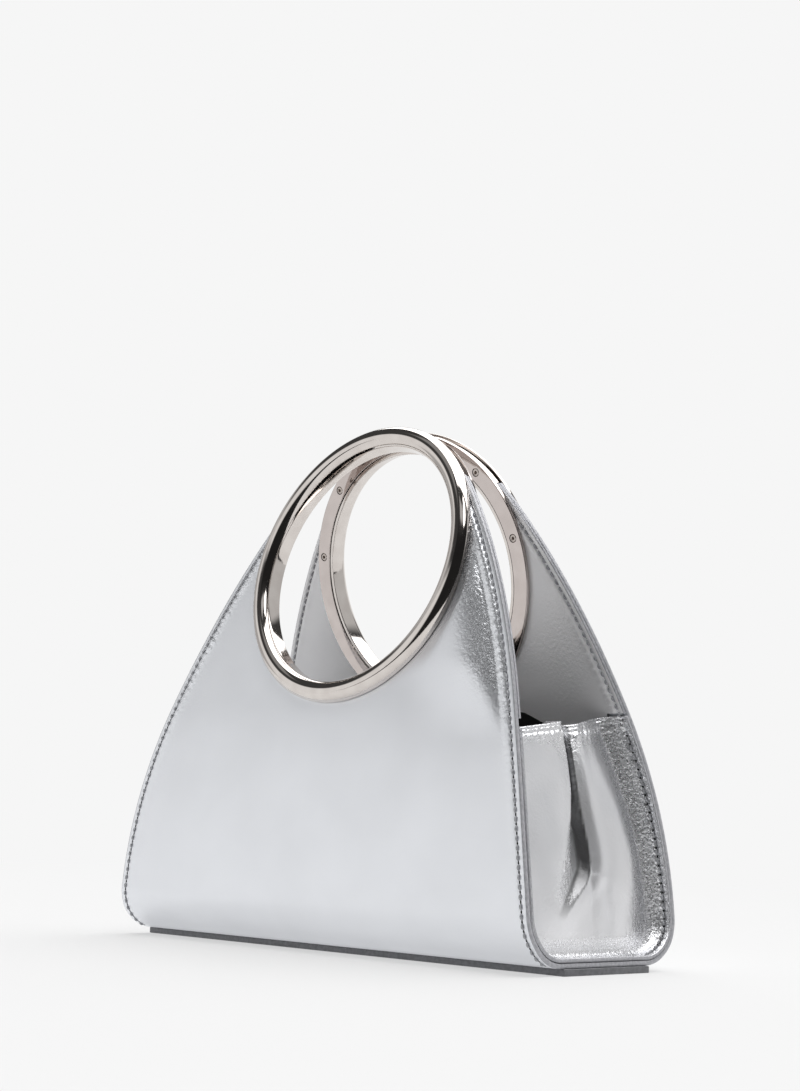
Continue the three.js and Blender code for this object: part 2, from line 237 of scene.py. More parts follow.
def finishMesh(name, points, faces, materials, indices=None, sharp=40, merge=True, values=None):
    # points in millimetres; the object stays at the origin with its place in its mesh
    mesh = bpy.data.meshes.new(name)
    mesh.from_pydata([tuple(p) for p in np.asarray(points, float) * 0.001], [], [tuple(f) for f in faces])
    for material in materials:
        mesh.materials.append(material)
    if indices is not None:
        mesh.polygons.foreach_set("material_index", np.asarray(indices, np.int32))
    for key, data in (values or {}).items():
        layer = mesh.attributes.new(key, "FLOAT", "POINT")
        layer.data.foreach_set("value", np.asarray(data, np.float32).ravel())
    work = bmesh.new()
    work.from_mesh(mesh)
    if merge:
        bmesh.ops.remove_doubles(work, verts=work.verts, dist=2e-6)
        bmesh.ops.dissolve_degenerate(work, edges=work.edges, dist=1e-7)
        bmesh.ops.recalc_face_normals(work, faces=work.faces)
    work.to_mesh(mesh)
    work.free()
    mesh.shade_smooth()
    mesh.set_sharp_from_angle(angle=math.radians(sharp))
    return newItem(name, mesh)


def applyModifiers(item):
    # bakes the modifiers into a plain mesh
    bpy.context.view_layer.update()
    graph = bpy.context.evaluated_depsgraph_get()
    made = bpy.data.meshes.new_from_object(item.evaluated_get(graph), depsgraph=graph)
    item.modifiers.clear()
    old = item.data
    item.data = made
    made.name = item.name
    if old.users == 0:
        bpy.data.meshes.remove(old)
    return item


def place(item, slot, *replaced):
    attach(item, "root")
    if replaced:
        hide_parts(*replaced)
    return item


# a strip's columns of points: distances from its edge, then shares of the way on to the ring or the middle
bandOffsets = [0.45, 0.8, 1.15, 1.5, 1.85, 2.15, 2.4, 2.65, 2.95, 3.3,
               3.7, 4.2, 4.8, 5.5, 6.1, 6.5, 7.1, 8.2, 10.0, 12.5]
innerShares = np.linspace(0, 1, 15)[1:]
# painted edges: radius of the rounding and its most as a share of the thickness, what a corner loses, bulge
paintedEdge = {"round": 0.45, "roundShare": 0.4, "cut": 0.29, "bulge": 0.04}


def leatherStrip(name, travels, nearDepth, farDepth, relief, look, edgeLook, hole=True, width=halfWidth,
                 backRelief=None, shift=None, crinkle=None):
    # a strip of leather along the wall with rounded, painted side edges and a round cut for the ring
    travels = np.asarray(travels, float)
    thickness = farDepth - nearDepth
    curl = min(paintedEdge["round"], thickness * paintedEdge["roundShare"])
    cut = paintedEdge["cut"] * curl
    offsets = np.array(bandOffsets)
    offsets = np.concatenate([[curl], offsets[offsets > curl + 0.05]])
    t = np.abs(travels)
    side = np.where(travels < 0, -1.0, 1.0)
    wide = width(t)
    tilt = tiltAt(t)
    inRing = np.clip(leatherHole ** 2 - (t - ringTravel) ** 2, 0, None)
    gap = np.sqrt(inRing) if hole else np.zeros_like(t)
    room = wide - gap
    band = offsets[None, :] / np.cos(tilt)[:, None]
    scale = np.minimum(1, 0.85 * room / band[:, -1])
    band = band * scale[:, None]
    rest = band[:, -1:] + (room[:, None] - band[:, -1:]) * innerShares[None, :]
    steps = np.concatenate([band, rest], 1)
    rows, columns = steps.shape
    rim = [(cut, cut), (0, curl), (-paintedEdge["bulge"], thickness / 2), (0, thickness - curl),
           (cut, thickness - cut)]
    points, faces, indices, crumple = [], [], [], []
    loop = 2 * columns + len(rim)
    for end in (-1, 1):
        start = len(points)
        x = end * (wide[:, None] - steps)
        perp = steps * np.cos(tilt)[:, None]
        foot = t[:, None] + perp * np.sin(tilt)[:, None]
        local = {"x": x, "t": t[:, None] + 0 * x, "side": side[:, None] + 0 * x, "perp": perp,
                 "arc": arcAt(foot), "end": end}
        travelsUsed = local["t"] if shift is None else shift(local["x"], local["t"])
        narrow = width(travelsUsed) / width(local["t"])
        near = onWall(local["side"], x * narrow, travelsUsed, nearDepth - relief(local))
        back = backRelief(local) if backRelief else 0 * x
        far = onWall(local["side"], x * narrow, travelsUsed, farDepth + back)
        edge = [onWall(side, end * (wide - d / np.cos(tilt)) * narrow[:, 0], travelsUsed[:, 0],
                       nearDepth + depth) for d, depth in rim]
        points.extend(np.concatenate([near[:, ::-1], np.stack(edge, 1), far], 1).reshape(-1, 3))
        grain = crinkle(local) if crinkle else 0 * x
        crumple.append(np.concatenate([grain[:, ::-1], np.zeros((rows, len(rim))), grain], 1).ravel())
        for row in range(rows - 1):
            a = start + row * loop
            b = a + loop
            for i in range(loop):
                j = (i + 1) % loop
                if i == loop - 1 and gap[row] == 0 and gap[row + 1] == 0:
                    continue
                faces.append((a + i, a + j, b + j, b + i))
                indices.append(1 if columns - 1 <= i < columns + len(rim) else 0)
        for row in (0, rows - 1):
            a = start + row * loop
            faces += [(a + i, a + i + 1, a + loop - 2 - i, a + loop - 1 - i) for i in range(columns - 1)]
            faces.append(tuple(a + i for i in range(columns - 1, columns + len(rim) + 1)))
            indices += [1] * columns
    return finishMesh(name, points, faces, [look, edgeLook], indices,
                      values={"crinkle": np.concatenate(crumple)})


def wallTravels(low, high, step, ringStep=1.1):
    # stations along one wall: even below the ring, by angle round the ring's cut
    flat = np.arange(low, ringTravel - leatherHole, step)
    top = math.acos((ringTravel - high) / leatherHole)
    count = int(leatherHole * top / ringStep)
    curved = ringTravel - leatherHole * np.cos(np.linspace(0, top, count + 1))
    kept = [curved[0]]
    closest = 0.3
    for travel in curved[1:]:
        if travel - kept[-1] > closest:
            kept.append(travel)
    return np.concatenate([flat[flat < curved[0] - step * 0.4], kept])


def newMaterial(name):
    material = bpy.data.materials.new(name)
    material.use_nodes = True
    tree = material.node_tree
    tree.nodes.clear()
    out = addNode(tree, "ShaderNodeOutputMaterial")
    shader = addNode(tree, "ShaderNodeBsdfPrincipled")
    tree.links.new(shader.outputs[0], out.inputs[0])
    coords = addNode(tree, "ShaderNodeTexCoord").outputs["Object"]
    return material, tree, shader, coords


# in millimetres, coarse grain shows where the leather is crumpled, fine grain everywhere, clouds are faint
foil = {
    "coarse": 1.25, "fine": 0.7, "cloud": 30, "coarseDepth": 0.32, "fineDepth": 0.08,
    # roughness either side of the leather's own, and what the crumpled places are glossier by; then the
    # painted shade colour that the fold's steep wall is mixed towards
    "smoother": 0.03, "rougher": 0.04, "gloss": 0.15, "paintedCreaseShade": "#6C6C6D",
}


def foilLeather(name, color, shade, rough, metal, grain, crumpledGrain):
    # leather with a bonded metal foil: softly blurred reflections, broken up where the leather is crumpled
    material, tree, shader, coords = newMaterial(name)
    cloud, fine, coarse = (addNode(tree, "ShaderNodeTexNoise", {
        "Vector": coords, "Scale": 1000 / foil[key], "Detail": detail, "Roughness": share}).outputs["Fac"]
        for key, detail, share in (("cloud", 2.0, 0.5), ("fine", 2.0, 0.5), ("coarse", 3.0, 0.6)))
    crinkle, crease = (addNode(tree, "ShaderNodeAttribute", attribute_name=key).outputs["Fac"]
                       for key in ("crinkle", "crease"))
    tint = ramp(addNode(tree, "ShaderNodeValToRGB", {"Fac": cloud}), [(0.3, shade), (0.7, color)])
    # painted shade: where the attribute crease is set, the colour is mixed towards a dark grey
    deep = addNode(tree, "ShaderNodeMix", {0: crease, 6: tint, 7: hexColor(foil["paintedCreaseShade"])},
                   data_type="RGBA")
    tree.links.new(deep.outputs[2], shader.inputs["Base Color"])
    roughness = addNode(tree, "ShaderNodeMapRange", {
        "Value": fine, "From Min": 0.3, "From Max": 0.7,
        "To Min": rough - foil["smoother"], "To Max": rough + foil["rougher"]})
    worked = addNode(tree, "ShaderNodeMapRange", {"Value": crinkle})
    glossier = addNode(tree, "ShaderNodeMath", {
        0: worked.outputs[0], 1: -foil["gloss"], 2: roughness.outputs[0]}, operation="MULTIPLY_ADD")
    tree.links.new(glossier.outputs[0], shader.inputs["Roughness"])
    shader.inputs["Metallic"].default_value = metal
    strength = addNode(tree, "ShaderNodeMapRange", {
        "Value": crinkle, "To Min": grain, "To Max": crumpledGrain})
    low = addNode(tree, "ShaderNodeBump", {
        "Height": coarse, "Distance": foil["coarseDepth"] * 0.001, "Strength": strength.outputs[0]})
    top = addNode(tree, "ShaderNodeBump", {
        "Height": fine, "Distance": foil["fineDepth"] * 0.001, "Strength": strength.outputs[0],
        "Normal": low.outputs[0]})
    tree.links.new(top.outputs[0], shader.inputs["Normal"])
    return material


def softSurface(name, color, shade, rough, metal, width, depth):
    # a painted, woven or spun surface: soft unevenness of a width and depth in millimetres
    material, tree, shader, coords = newMaterial(name)
    cloud = addNode(tree, "ShaderNodeTexNoise", {
        "Vector": coords, "Scale": 1000 / width, "Detail": 4.0}).outputs["Fac"]
    tint = ramp(addNode(tree, "ShaderNodeValToRGB", {"Fac": cloud}), [(0.35, shade), (0.65, color)])
    tree.links.new(tint, shader.inputs["Base Color"])
    shader.inputs["Roughness"].default_value = rough
    shader.inputs["Metallic"].default_value = metal
    bump = addNode(tree, "ShaderNodeBump", {"Height": cloud, "Distance": depth * 0.001, "Strength": 0.6})
    tree.links.new(bump.outputs[0], shader.inputs["Normal"])
    return material


# widths of the polish's faint swells and of its finest wear, and the swells' depth, in millimetres
polish = {"swell": 5.56, "wear": 1.11, "depth": 0.06, "glossy": 0.05, "worn": 0.09}


def polishedNickel(name, color, shade):
    # nickel-plated zinc casting, machine polished: near mirror, warm, with slightly wavy reflections
    material, tree, shader, coords = newMaterial(name)
    swell, wear = (addNode(tree, "ShaderNodeTexNoise", {
        "Vector": coords, "Scale": 1000 / polish[key], "Detail": detail}).outputs["Fac"]
        for key, detail in (("swell", 1.0), ("wear", 3.0)))
    tint = ramp(addNode(tree, "ShaderNodeValToRGB", {"Fac": swell}), [(0.3, shade), (0.7, color)])
    tree.links.new(tint, shader.inputs["Base Color"])
    rough = addNode(tree, "ShaderNodeMapRange", {
        "Value": wear, "From Min": 0.35, "From Max": 0.65,
        "To Min": polish["glossy"], "To Max": polish["worn"]})
    tree.links.new(rough.outputs[0], shader.inputs["Roughness"])
    shader.inputs["Metallic"].default_value = 1.0
    bump = addNode(tree, "ShaderNodeBump", {
        "Height": swell, "Distance": polish["depth"] * 0.001, "Strength": 0.25})
    tree.links.new(bump.outputs[0], shader.inputs["Normal"])
    return material


# calf leather with silver foil, drummed smooth: cool, bright and even
silver = foilLeather("silverFoilLeather", "#F3F5F9", "#EEF0F4", rough=0.40, metal=0.85, grain=0.05,
                     crumpledGrain=0.85)
# the same leather, worked by pleating: greyer, and mottled where it is crumpled
silverCrushed = foilLeather("silverFoilGusset", "#ECECEE", "#E0E1E4", rough=0.42, metal=0.86, grain=0.12,
                            crumpledGrain=1.15)
# inner layer of the panels, foil rolled thin: a pale grey with little shine
inside = foilLeather("silverFoilInside", "#FBFBFC", "#F5F5F7", rough=0.42, metal=0.2, grain=0.1,
                     crumpledGrain=0.9)
# brushed edge paint: a satin grey line round each panel
edgePaint = softSurface("greyEdgePaint", "#B9B9BD", "#A2A3A8", rough=0.42, metal=0.35,
                        width=1.11, depth=0.05)
# pressed and painted leather board, nearly matt: its grey is darkened as painted shade from the bag's bend
# above it
plateLookPaintedShade = softSurface("plateLeather", "#77787B", "#66676A", rough=0.5, metal=0.4,
                        width=1.43, depth=0.06)
# woven polyester twill: flat black without shine
liningLook = softSurface("blackTwillLining", "#121213", "#08080A", rough=0.85, metal=0.0,
                         width=0.385, depth=0.08)
# spun polyester thread: fine grey dashes with a slight shine; the hem's copy is darker, as painted shade
# from the hem's puckers
threadLook = softSurface("silverPolyesterThread", "#BCBDC0", "#9A9BA0", rough=0.6, metal=0.2,
                         width=0.417, depth=0.12)
hemThreadPaintedShade = softSurface("greyPolyesterThread", "#77787C", "#5E5F63", rough=0.6, metal=0.1,
                        width=0.417, depth=0.12)
# the shadow in a needle's hole
holeLook = softSurface("needleHole", "#1E1E20", "#0E0E10", rough=0.9, metal=0.0,
                       width=0.333, depth=0.02)
# the crown is brightest; the flat plates and the screw heads, polished less, are a shade darker
nickel = polishedNickel("polishedNickel", "#DBD5D0", "#D2CBC6")
plateNickel = polishedNickel("nickelPlate", "#CCC3BF", "#C4BBB7")
screwLook = polishedNickel("nickelScrew", "#BDB4AE", "#B2A9A3")
print("stage: materials")


view = {
    "azimuth": 44.742, "elevation": -8.116, "distance": 697.73, "target": (2.948, 0, 143.669),
    "roll": 2.159, "focal": 1936.09, "imageHeight": 1091, "sensor": 36,
}


def makeCamera():
    a, e, r = (math.radians(view[k]) for k in ("azimuth", "elevation", "roll"))
    back = Vector((math.sin(a) * math.cos(e), -math.cos(a) * math.cos(e), math.sin(e)))
    right = Vector((math.cos(a), math.sin(a), 0))
    up = back.cross(right)
    axisX = math.cos(r) * right + math.sin(r) * up
    axisY = math.cos(r) * up - math.sin(r) * right
    data = bpy.data.cameras.new("camera")
    data.sensor_width = view["sensor"]
    data.lens = view["focal"] / view["imageHeight"] * view["sensor"]
    data.clip_start, data.clip_end = 0.01, 100
    item = newItem("camera", data)
    spot = (Vector(view["target"]) + back * view["distance"]) * 0.001
    item.matrix_world = Matrix.Translation(spot) @ Matrix((axisX, axisY, back)).transposed().to_4x4()
    bpy.context.scene.camera = item


studio = {
    "backdrop": "#F6F6F6",
    # white sweep up to this height all round, in degrees
    "sweep": 0.92, "sweepTop": 24, "sweepSoft": 5, "room": 0.055,
    # soft areas of the room: middle azimuth, half width, lowest, highest, softness, strength
    "areas": {
        "left wall": (-94, 27, -90, 26, 9, 0.50),
        "right wall": (132, 30, -90, 40, 10, 0.62),
        "back left sheet": (-156, 17, -90, 58, 7, 1.0),
        "spill": (-38, 20, 43, 70, 7, 0.30),
        "dark camera side": (46, 56, -90, 40, 14, 0.018),
        "strip light": (48, 44, 44, 54, 4, 0.60),
        "small lamp": (64, 9, 42, 60, 4, 6.0),
    },
    # overhead softbox on a level plane: towards the camera, away, left, right, softness, strength
    "box": (-0.43, 1.3, -0.42, 0.95, 0.05, 3.2), "boxTurn": 45,
    # pale table: its grey, how much it glows below the bag, and from where to where it fades, in metres;
    # reflections see it end on the camera's side
    "floorAlbedo": 0.66, "floorGlow": 0.55, "floorNear": 0.35, "floorFar": 1.0, "floorHalf": 12.0,
    "tableEnd": 0.44, "tableSoft": 0.03, "pastTable": 0.02,
}


def softArea(tree, total, strength, soft, spans):
    # lays an area of light over the rest, where each value lies inside its span
    mask = 1.0
    for value, low, high in spans:
        for end, start, stop in ((low, 0.0, 1.0), (high, 1.0, 0.0)):
            fade = addNode(tree, "ShaderNodeMapRange", {
                "Value": value, "From Min": end - soft / 2, "From Max": end + soft / 2,
                "To Min": start, "To Max": stop}, interpolation_type="SMOOTHSTEP")
            both = addNode(tree, "ShaderNodeMath", {0: mask, 1: fade.outputs[0]}, operation="MULTIPLY")
            mask = both.outputs[0]
    return addNode(tree, "ShaderNodeMix", {0: mask, 2: total, 3: strength}, data_type="FLOAT").outputs[0]


def makeWorld():
    # a white sweep behind and beside the bag, a dark camera side and one large softbox overhead
    world = bpy.data.worlds.new("studio")
    bpy.context.scene.world = world
    world.use_nodes = True
    tree = world.node_tree
    tree.nodes.clear()
    out = addNode(tree, "ShaderNodeOutputWorld")
    direction = addNode(tree, "ShaderNodeTexCoord").outputs["Generated"]
    split = addNode(tree, "ShaderNodeSeparateXYZ", {0: direction})
    ahead = addNode(tree, "ShaderNodeMath", {0: split.outputs["Y"], 1: -1.0}, operation="MULTIPLY")
    angles = []
    for operation, axis, other in (("ARCSINE", "Z", 0.0), ("ARCTAN2", "X", ahead.outputs[0])):
        angle = addNode(tree, "ShaderNodeMath", {0: split.outputs[axis], 1: other}, operation=operation)
        degrees = addNode(tree, "ShaderNodeMath", {0: angle.outputs[0]}, operation="DEGREES")
        angles.append(degrees.outputs[0])
    height, turn = angles
    total = addNode(tree, "ShaderNodeMapRange", {
        "Value": height, "From Min": studio["sweepTop"],
        "From Max": studio["sweepTop"] + studio["sweepSoft"],
        "To Min": studio["sweep"], "To Max": studio["room"]}, interpolation_type="SMOOTHSTEP").outputs[0]
    for middle, half, low, high, soft, strength in studio["areas"].values():
        off = addNode(tree, "ShaderNodeMath", {0: turn, 1: middle}, operation="SUBTRACT")
        off = addNode(tree, "ShaderNodeMath", {0: off.outputs[0], 1: 180.0, 2: -180.0}, operation="WRAP")
        total = softArea(tree, total, strength, soft, [(off.outputs[0], -half, half), (height, low, high)])
    near, away, left, right, soft, strength = studio["box"]
    up = addNode(tree, "ShaderNodeMath", {0: split.outputs["Z"], 1: 0.001}, operation="MAXIMUM").outputs[0]
    c, s = math.cos(math.radians(studio["boxTurn"])), math.sin(math.radians(studio["boxTurn"]))
    spans = []
    for axis, low, high in (((-s, c, 0), near, away), ((c, s, 0), left, right)):
        along = addNode(tree, "ShaderNodeVectorMath", {0: direction, 1: axis}, operation="DOT_PRODUCT")
        level = addNode(tree, "ShaderNodeMath", {0: along.outputs["Value"], 1: up}, operation="DIVIDE")
        spans.append((level.outputs[0], low, high))
    total = softArea(tree, total, strength, soft, spans)
    light = addNode(tree, "ShaderNodeBackground", {"Color": (1, 1, 1, 1), "Strength": total})
    plain = addNode(tree, "ShaderNodeBackground", {"Color": hexColor(studio["backdrop"]), "Strength": 1.0})
    seen = addNode(tree, "ShaderNodeLightPath").outputs["Is Camera Ray"]
    mix = addNode(tree, "ShaderNodeMixShader", {0: seen, 1: light.outputs[0], 2: plain.outputs[0]})
    tree.links.new(mix.outputs[0], out.inputs[0])
    scene = bpy.context.scene
    scene.view_settings.view_transform = "Standard"
    scene.view_settings.look = "None"


def makeFloor():
    # matt painted table top: it fades into the backdrop far from the bag
    material, tree, shader, coords = newMaterial("paleFloor")
    grey = studio["floorAlbedo"]
    shader.inputs["Base Color"].default_value = (grey, grey, grey, 1)
    shader.inputs["Roughness"].default_value = 1.0
    shader.inputs["Specular IOR Level"].default_value = 0.0
    glow = addNode(tree, "ShaderNodeEmission", {"Color": hexColor(studio["backdrop"]), "Strength": 1.0})
    far = addNode(tree, "ShaderNodeVectorMath", {0: coords}, operation="LENGTH").outputs["Value"]
    fade = addNode(tree, "ShaderNodeMapRange", {
        "Value": far, "From Min": studio["floorNear"], "From Max": studio["floorFar"],
        "To Min": studio["floorGlow"]}, interpolation_type="SMOOTHSTEP")
    mix = addNode(tree, "ShaderNodeMixShader", {
        0: fade.outputs[0], 1: shader.outputs[0], 2: glow.outputs[0]})
    toCamera = (math.sin(math.radians(view["azimuth"])), -math.cos(math.radians(view["azimuth"])), 0)
    along = addNode(tree, "ShaderNodeVectorMath", {0: coords, 1: toCamera}, operation="DOT_PRODUCT")
    past = addNode(tree, "ShaderNodeMapRange", {
        "Value": along.outputs["Value"], "From Min": studio["tableEnd"] - studio["tableSoft"],
        "From Max": studio["tableEnd"] + studio["tableSoft"]})
    seen = addNode(tree, "ShaderNodeLightPath").outputs["Is Camera Ray"]
    unseen = addNode(tree, "ShaderNodeMath", {0: 1.0, 1: seen}, operation="SUBTRACT").outputs[0]
    hide = addNode(tree, "ShaderNodeMath", {0: past.outputs[0], 1: unseen}, operation="MULTIPLY").outputs[0]
    dark = addNode(tree, "ShaderNodeEmission", {"Color": (1, 1, 1, 1), "Strength": studio["pastTable"]})
    both = addNode(tree, "ShaderNodeMixShader", {0: hide, 1: mix.outputs[0], 2: dark.outputs[0]})
    tree.links.new(both.outputs[0], tree.nodes["Material Output"].inputs[0])
    half = studio["floorHalf"] * 1000
    floor = finishMesh("floor", [(-half, -half, 0), (half, -half, 0), (half, half, 0), (-half, half, 0)],
                       [(0, 1, 2, 3)], [material], merge=False)


makeCamera()
makeWorld()
makeFloor()
print("stage: camera, light and floor")


# relief beside a seam, in millimetres; its strength grows with the travel up the panel
pucker = {
    "groove": 0.24, "grooveWidth": 0.55, "pull": 0.22, "pullWidth": 0.7,
    "swell": 0.3, "swellAt": 1.8, "swellWidth": 1.3, "lip": 0.05,
    "low": 0.4, "high": 1.5, "from": 95, "full": 165,
}


def seamRelief(perp, arc, strength, seed):
    # the seam sinks, dips at each needle hole, and the leather swells inboard of it
    phase = 2 * math.pi * (arc / stitch["pitch"] - 0.5)
    d = perp - stitch["fromEdge"]
    uneven = 1 + 0.5 * wave(arc / 4.1, seed)
    groove = -pucker["groove"] * bell(d, pucker["grooveWidth"])
    pull = -pucker["pull"] * bell(d, pucker["pullWidth"]) * (0.5 + 0.5 * np.cos(phase + math.pi))
    swell = pucker["swell"] * bell(d - pucker["swellAt"], pucker["swellWidth"]) * uneven
    swell = swell * (0.6 + 0.4 * np.cos(phase + 0.9 * d))
    lip = pucker["lip"] * bell(d + 1.2, 0.6) * uneven
    return strength * (groove + pull + swell + lip)


def fadeEdge(perp):
    # no relief at the very edge
    return smooth(perp, 0.45, 1.3)


# the panel swells between the ring and each seam, and falls steeply to the seam
pillow = {
    "height": 2.7, "from": 100, "full": 128, "end": 184, "endRun": 24,
    "foot": 6.4, "crest": 18.0, "narrow": 10.0, "widen": (104, 132), "taper": (140, 172),
    "ease": 1.8, "fall": 46.0, "grainEnd": (9, 24), "grainStart": (5.4, 6.6),
    "seamGrain": 0.8, "seamGrainAt": 4, "seamGrainWidth": 2.6,
}
# a broad unevenness over the whole panel: height, length across and up
panelWave = {"height": 0.35, "across": 60, "up": 48, "seed": 4}


def pillowShare(local):
    # steepest at its foot beside the seam; it narrows towards both its ends
    t, perp, x = local["t"], local["perp"], local["x"]
    wide = smooth(t, *pillow["widen"]) * (1 - smooth(t, *pillow["taper"]))
    crest = pillow["narrow"] + (pillow["crest"] - pillow["narrow"]) * wide
    climb = 1 - np.clip((crest - perp) / (crest - pillow["foot"]), 0, 1) ** pillow["ease"]
    along = smooth(t, pillow["from"], pillow["full"])
    along = along * (1 - smooth(t, pillow["end"] - pillow["endRun"], pillow["end"]))
    across = climb * (1 - smooth(perp, crest + 1, pillow["fall"]))
    clear = smooth(np.hypot(x, t - ringTravel), ringRadius + 0.5, ringRadius + 7)
    return along * across * clear * (local["end"] * local["side"] < 0)


def wrapCrinkle(local):
    # strongest grain on the steep side of the swell, and a little along the seam
    t, perp = local["t"], local["perp"]
    steep = smooth(t, pillow["from"] + 2, pillow["full"]) * (1 - smooth(perp, *pillow["grainEnd"]))
    steep = steep * smooth(perp, *pillow["grainStart"]) * (local["end"] * local["side"] < 0)
    seam = pillow["seamGrain"] * bell(perp - pillow["seamGrainAt"], pillow["seamGrainWidth"])
    return np.clip(steep + seam * smooth(t, 70, 120), 0, 1)


def wrapRelief(local):
    t, perp, arc, side, end = (local[k] for k in ("t", "perp", "arc", "side", "end"))
    strength = pucker["low"] + (pucker["high"] - pucker["low"]) * smooth(t, pucker["from"], pucker["full"])
    sewn = smooth(t, flatHalf + 2, flatHalf + 8)
    seed = 1 + (end > 0) + 2 * float(side.flat[0] > 0)
    seam = seamRelief(perp, arc, strength * sewn, seed) * fadeEdge(perp)
    broad = wave2(local["x"] / panelWave["across"], t / panelWave["up"], panelWave["seed"])
    broad = panelWave["height"] * broad * smooth(t, 45, 80) * smooth(perp, 2, 25)
    broad = broad * smooth(np.hypot(local["x"], t - ringTravel), ringRadius + 1, ringRadius + 14)
    return seam + broad + pillow["height"] * pillowShare(local)


# facing: its lower edge rises between the gussets, and it has its own broad unevenness and grain
facing = {
    "rise": 7.2, "riseFrom": 58, "riseRun": 20, "dip": 2.5, "dipWidth": 18,
    "ear": 5.6, "lowEar": 0.2, "earRun": 2.5, "shiftRun": 14,
    "wave": 0.9, "waveAcross": 26, "waveUp": 22, "waveEnd": (75, 35), "seam": 1.5,
    "grain": 0.3, "grainChange": 0.6, "grainCloud": 20,
}


def facingRelief(local):
    t, perp, arc, end = (local[k] for k in ("t", "perp", "arc", "end"))
    low, high = (ringTravel - d for d in facing["waveEnd"])
    broad = facing["wave"] * wave2(local["x"] / facing["waveAcross"], t / facing["waveUp"], 12)
    broad = broad * smooth(perp, 5, 16) * (1 - smooth(t, low, high))
    return seamRelief(perp, arc, facing["seam"] + 0 * t, 6 + end) * fadeEdge(perp) + broad


def facingCrinkle(local):
    cloud = wave2(local["x"] / facing["grainCloud"], local["t"] / facing["grainCloud"], 15)
    return np.clip(facing["grain"] + facing["grainChange"] * cloud, 0, 1)


def zeroRelief(local):
    return 0 * local["x"]


low = wallTravels(flatHalf, armTravel, 0.85)
wrapTravels = np.concatenate([-low[::-1], np.linspace(-flatHalf, flatHalf, 13)[1:-1], low])
wrap = leatherStrip("bodyWrap", wrapTravels, 0, body["wrap"], wrapRelief, silver, edgePaint,
                    crinkle=wrapCrinkle)
place(wrap, "silver_leather", "body_wrap")
print("stage: body wrap")


def facingShift(x, t, side):
    start = gussetTravel + body["clearance"]
    lift = facing["rise"] * smooth((facing["riseFrom"] - np.abs(x)) / facing["riseRun"], 0, 1)
    lift = lift - facing["dip"] * bell(x, facing["dipWidth"])
    root = halfWidth(start) - body["flange"] - body["gusset"]
    ear = np.where(x * side > 0, facing["ear"], facing["lowEar"])
    lift = lift + ear * smooth(np.abs(x), root - facing["earRun"], root)
    return t + lift * (1 - smooth(t, start, start + facing["shiftRun"]))


for side, name in ((-1, "front"), (1, "back")):
    travels = side * wallTravels(gussetTravel + body["clearance"], armTravel, 0.9)
    item = leatherStrip("facing" + name.capitalize(), travels, secondLayer, secondLayer + body["facing"],
                        zeroRelief, inside, edgePaint, backRelief=facingRelief,
                        shift=lambda x, t: facingShift(x, t, side), crinkle=facingCrinkle)
    place(item, "inside_leather", "facing_" + name)
print("stage: facings")

# lining: how far it reaches above the side pieces, how much narrower it gets there, and the rows' distance
liningCut = {"above": 8.0, "narrower": 12, "rowStep": 2.4}
beside = body["flange"] + 2 * body["gusset"] + body["clearance"]
low = np.arange(flatHalf, gussetTravel + liningCut["above"], liningCut["rowStep"])
liningTravels = np.concatenate([-low[::-1], [0], low])


def liningWidth(t):
    # it stays clear of the side pieces' flanges and narrows at the top
    top = smooth(t, gussetTravel - 2, gussetTravel + liningCut["above"])
    return halfWidth(t) - beside - liningCut["narrower"] * top


lining = leatherStrip("liningCloth", liningTravels, secondLayer, secondLayer + body["lining"], zeroRelief,
                      liningLook, liningLook, hole=False, width=liningWidth)
place(lining, "black_lining", "lining")
liningPath = onWall(np.sign(liningTravels), 0, liningTravels, secondLayer + body["lining"] / 2)


gusset = {
    "corner": 2.2, "backCorner": [(81, 3.6), (50, 3.6), (25, 3.4), (10, 2.8), (2, 2.6)],
    "columns": 50, "rowStep": 0.7, "flangeSteps": 12, "hem": 4.4, "hemStitch": 2.3,
    # rim of the fold: height, place across, depth, width of the steep wall, width of the gentle wall
    "fold": [(84, 3.3, 8.0, 1.6, 0.9), (67, 1.7, 7.4, 1.4, 0.9), (57, 1.3, 6.4, 1.4, 1.3),
             (50, 1.6, 5.2, 1.9, 3.2), (43, 2.3, 4.4, 2.8, 6.0), (36, 3.0, 4.0, 3.4, 8.5),
             (31.6, 2.8, 3.7, 3.8, 9.5), (27.5, 0.2, 3.3, 3.6, 9.5), (25, -4.2, 2.7, 3.2, 8.5),
             (21.6, -9.4, 1.6, 3.0, 7.0), (17.7, -13.7, 0.5, 3.0, 5.0), (16, -15.5, 0.0, 3.0, 5.0)],
    # trough along the back: height, depth, place across, half width
    "trough": [(84, 4.6, 22.0, 7.0), (66, 4.0, 25.0, 6.0), (50, 3.0, 28.5, 4.4), (36, 2.6, 31, 4.2),
               (24, 2.0, 31, 4.2), (14, 0.8, 29, 5.0), (5, 0, 26, 5.0)],
    # top edge's front and back half, each as (place across, height over its even line), how far down it
    # tells, and where one half gives way to the other, before the fold
    "topFront": [(-28, -2.6), (3, 1.9)], "topBack": [(-1, -0.3), (28, 4.7)], "topRun": 12, "topBreak": 1.4,
    # swell of the front and back half by height
    "swell": [(81, 0.6, 1.0), (66, 1.2, 2.0), (50, 2.4, 3.0), (38, 3.0, 3.4),
              (28, 2.4, 3.0), (18, 1.0, 1.8), (12, 0.4, 0.8), (5, 0.0, 0.0)],
    # lip before the fold, a shallow crease below it, a bulge beside its foot, and a fine ripple all over
    "lip": 0.8, "lipAt": 3.6, "lipWidth": 2.6, "crease": 0.7, "creaseAt": 8.6, "creaseWidth": 2.0,
    "bulge": 1.3, "bulgeAt": (-15, 19), "bulgeSize": 8, "ripple": 0.16,
    "pucker": 0.16, "flangePucker": 2.2, "scoopGrain": 1.0,
}
foldTop = gusset["fold"][0][1]


def column(table, heights, index):
    # one column of a table, read at any height
    rows = sorted(table)
    return np.interp(heights, [r[0] for r in rows], [r[index] for r in rows])


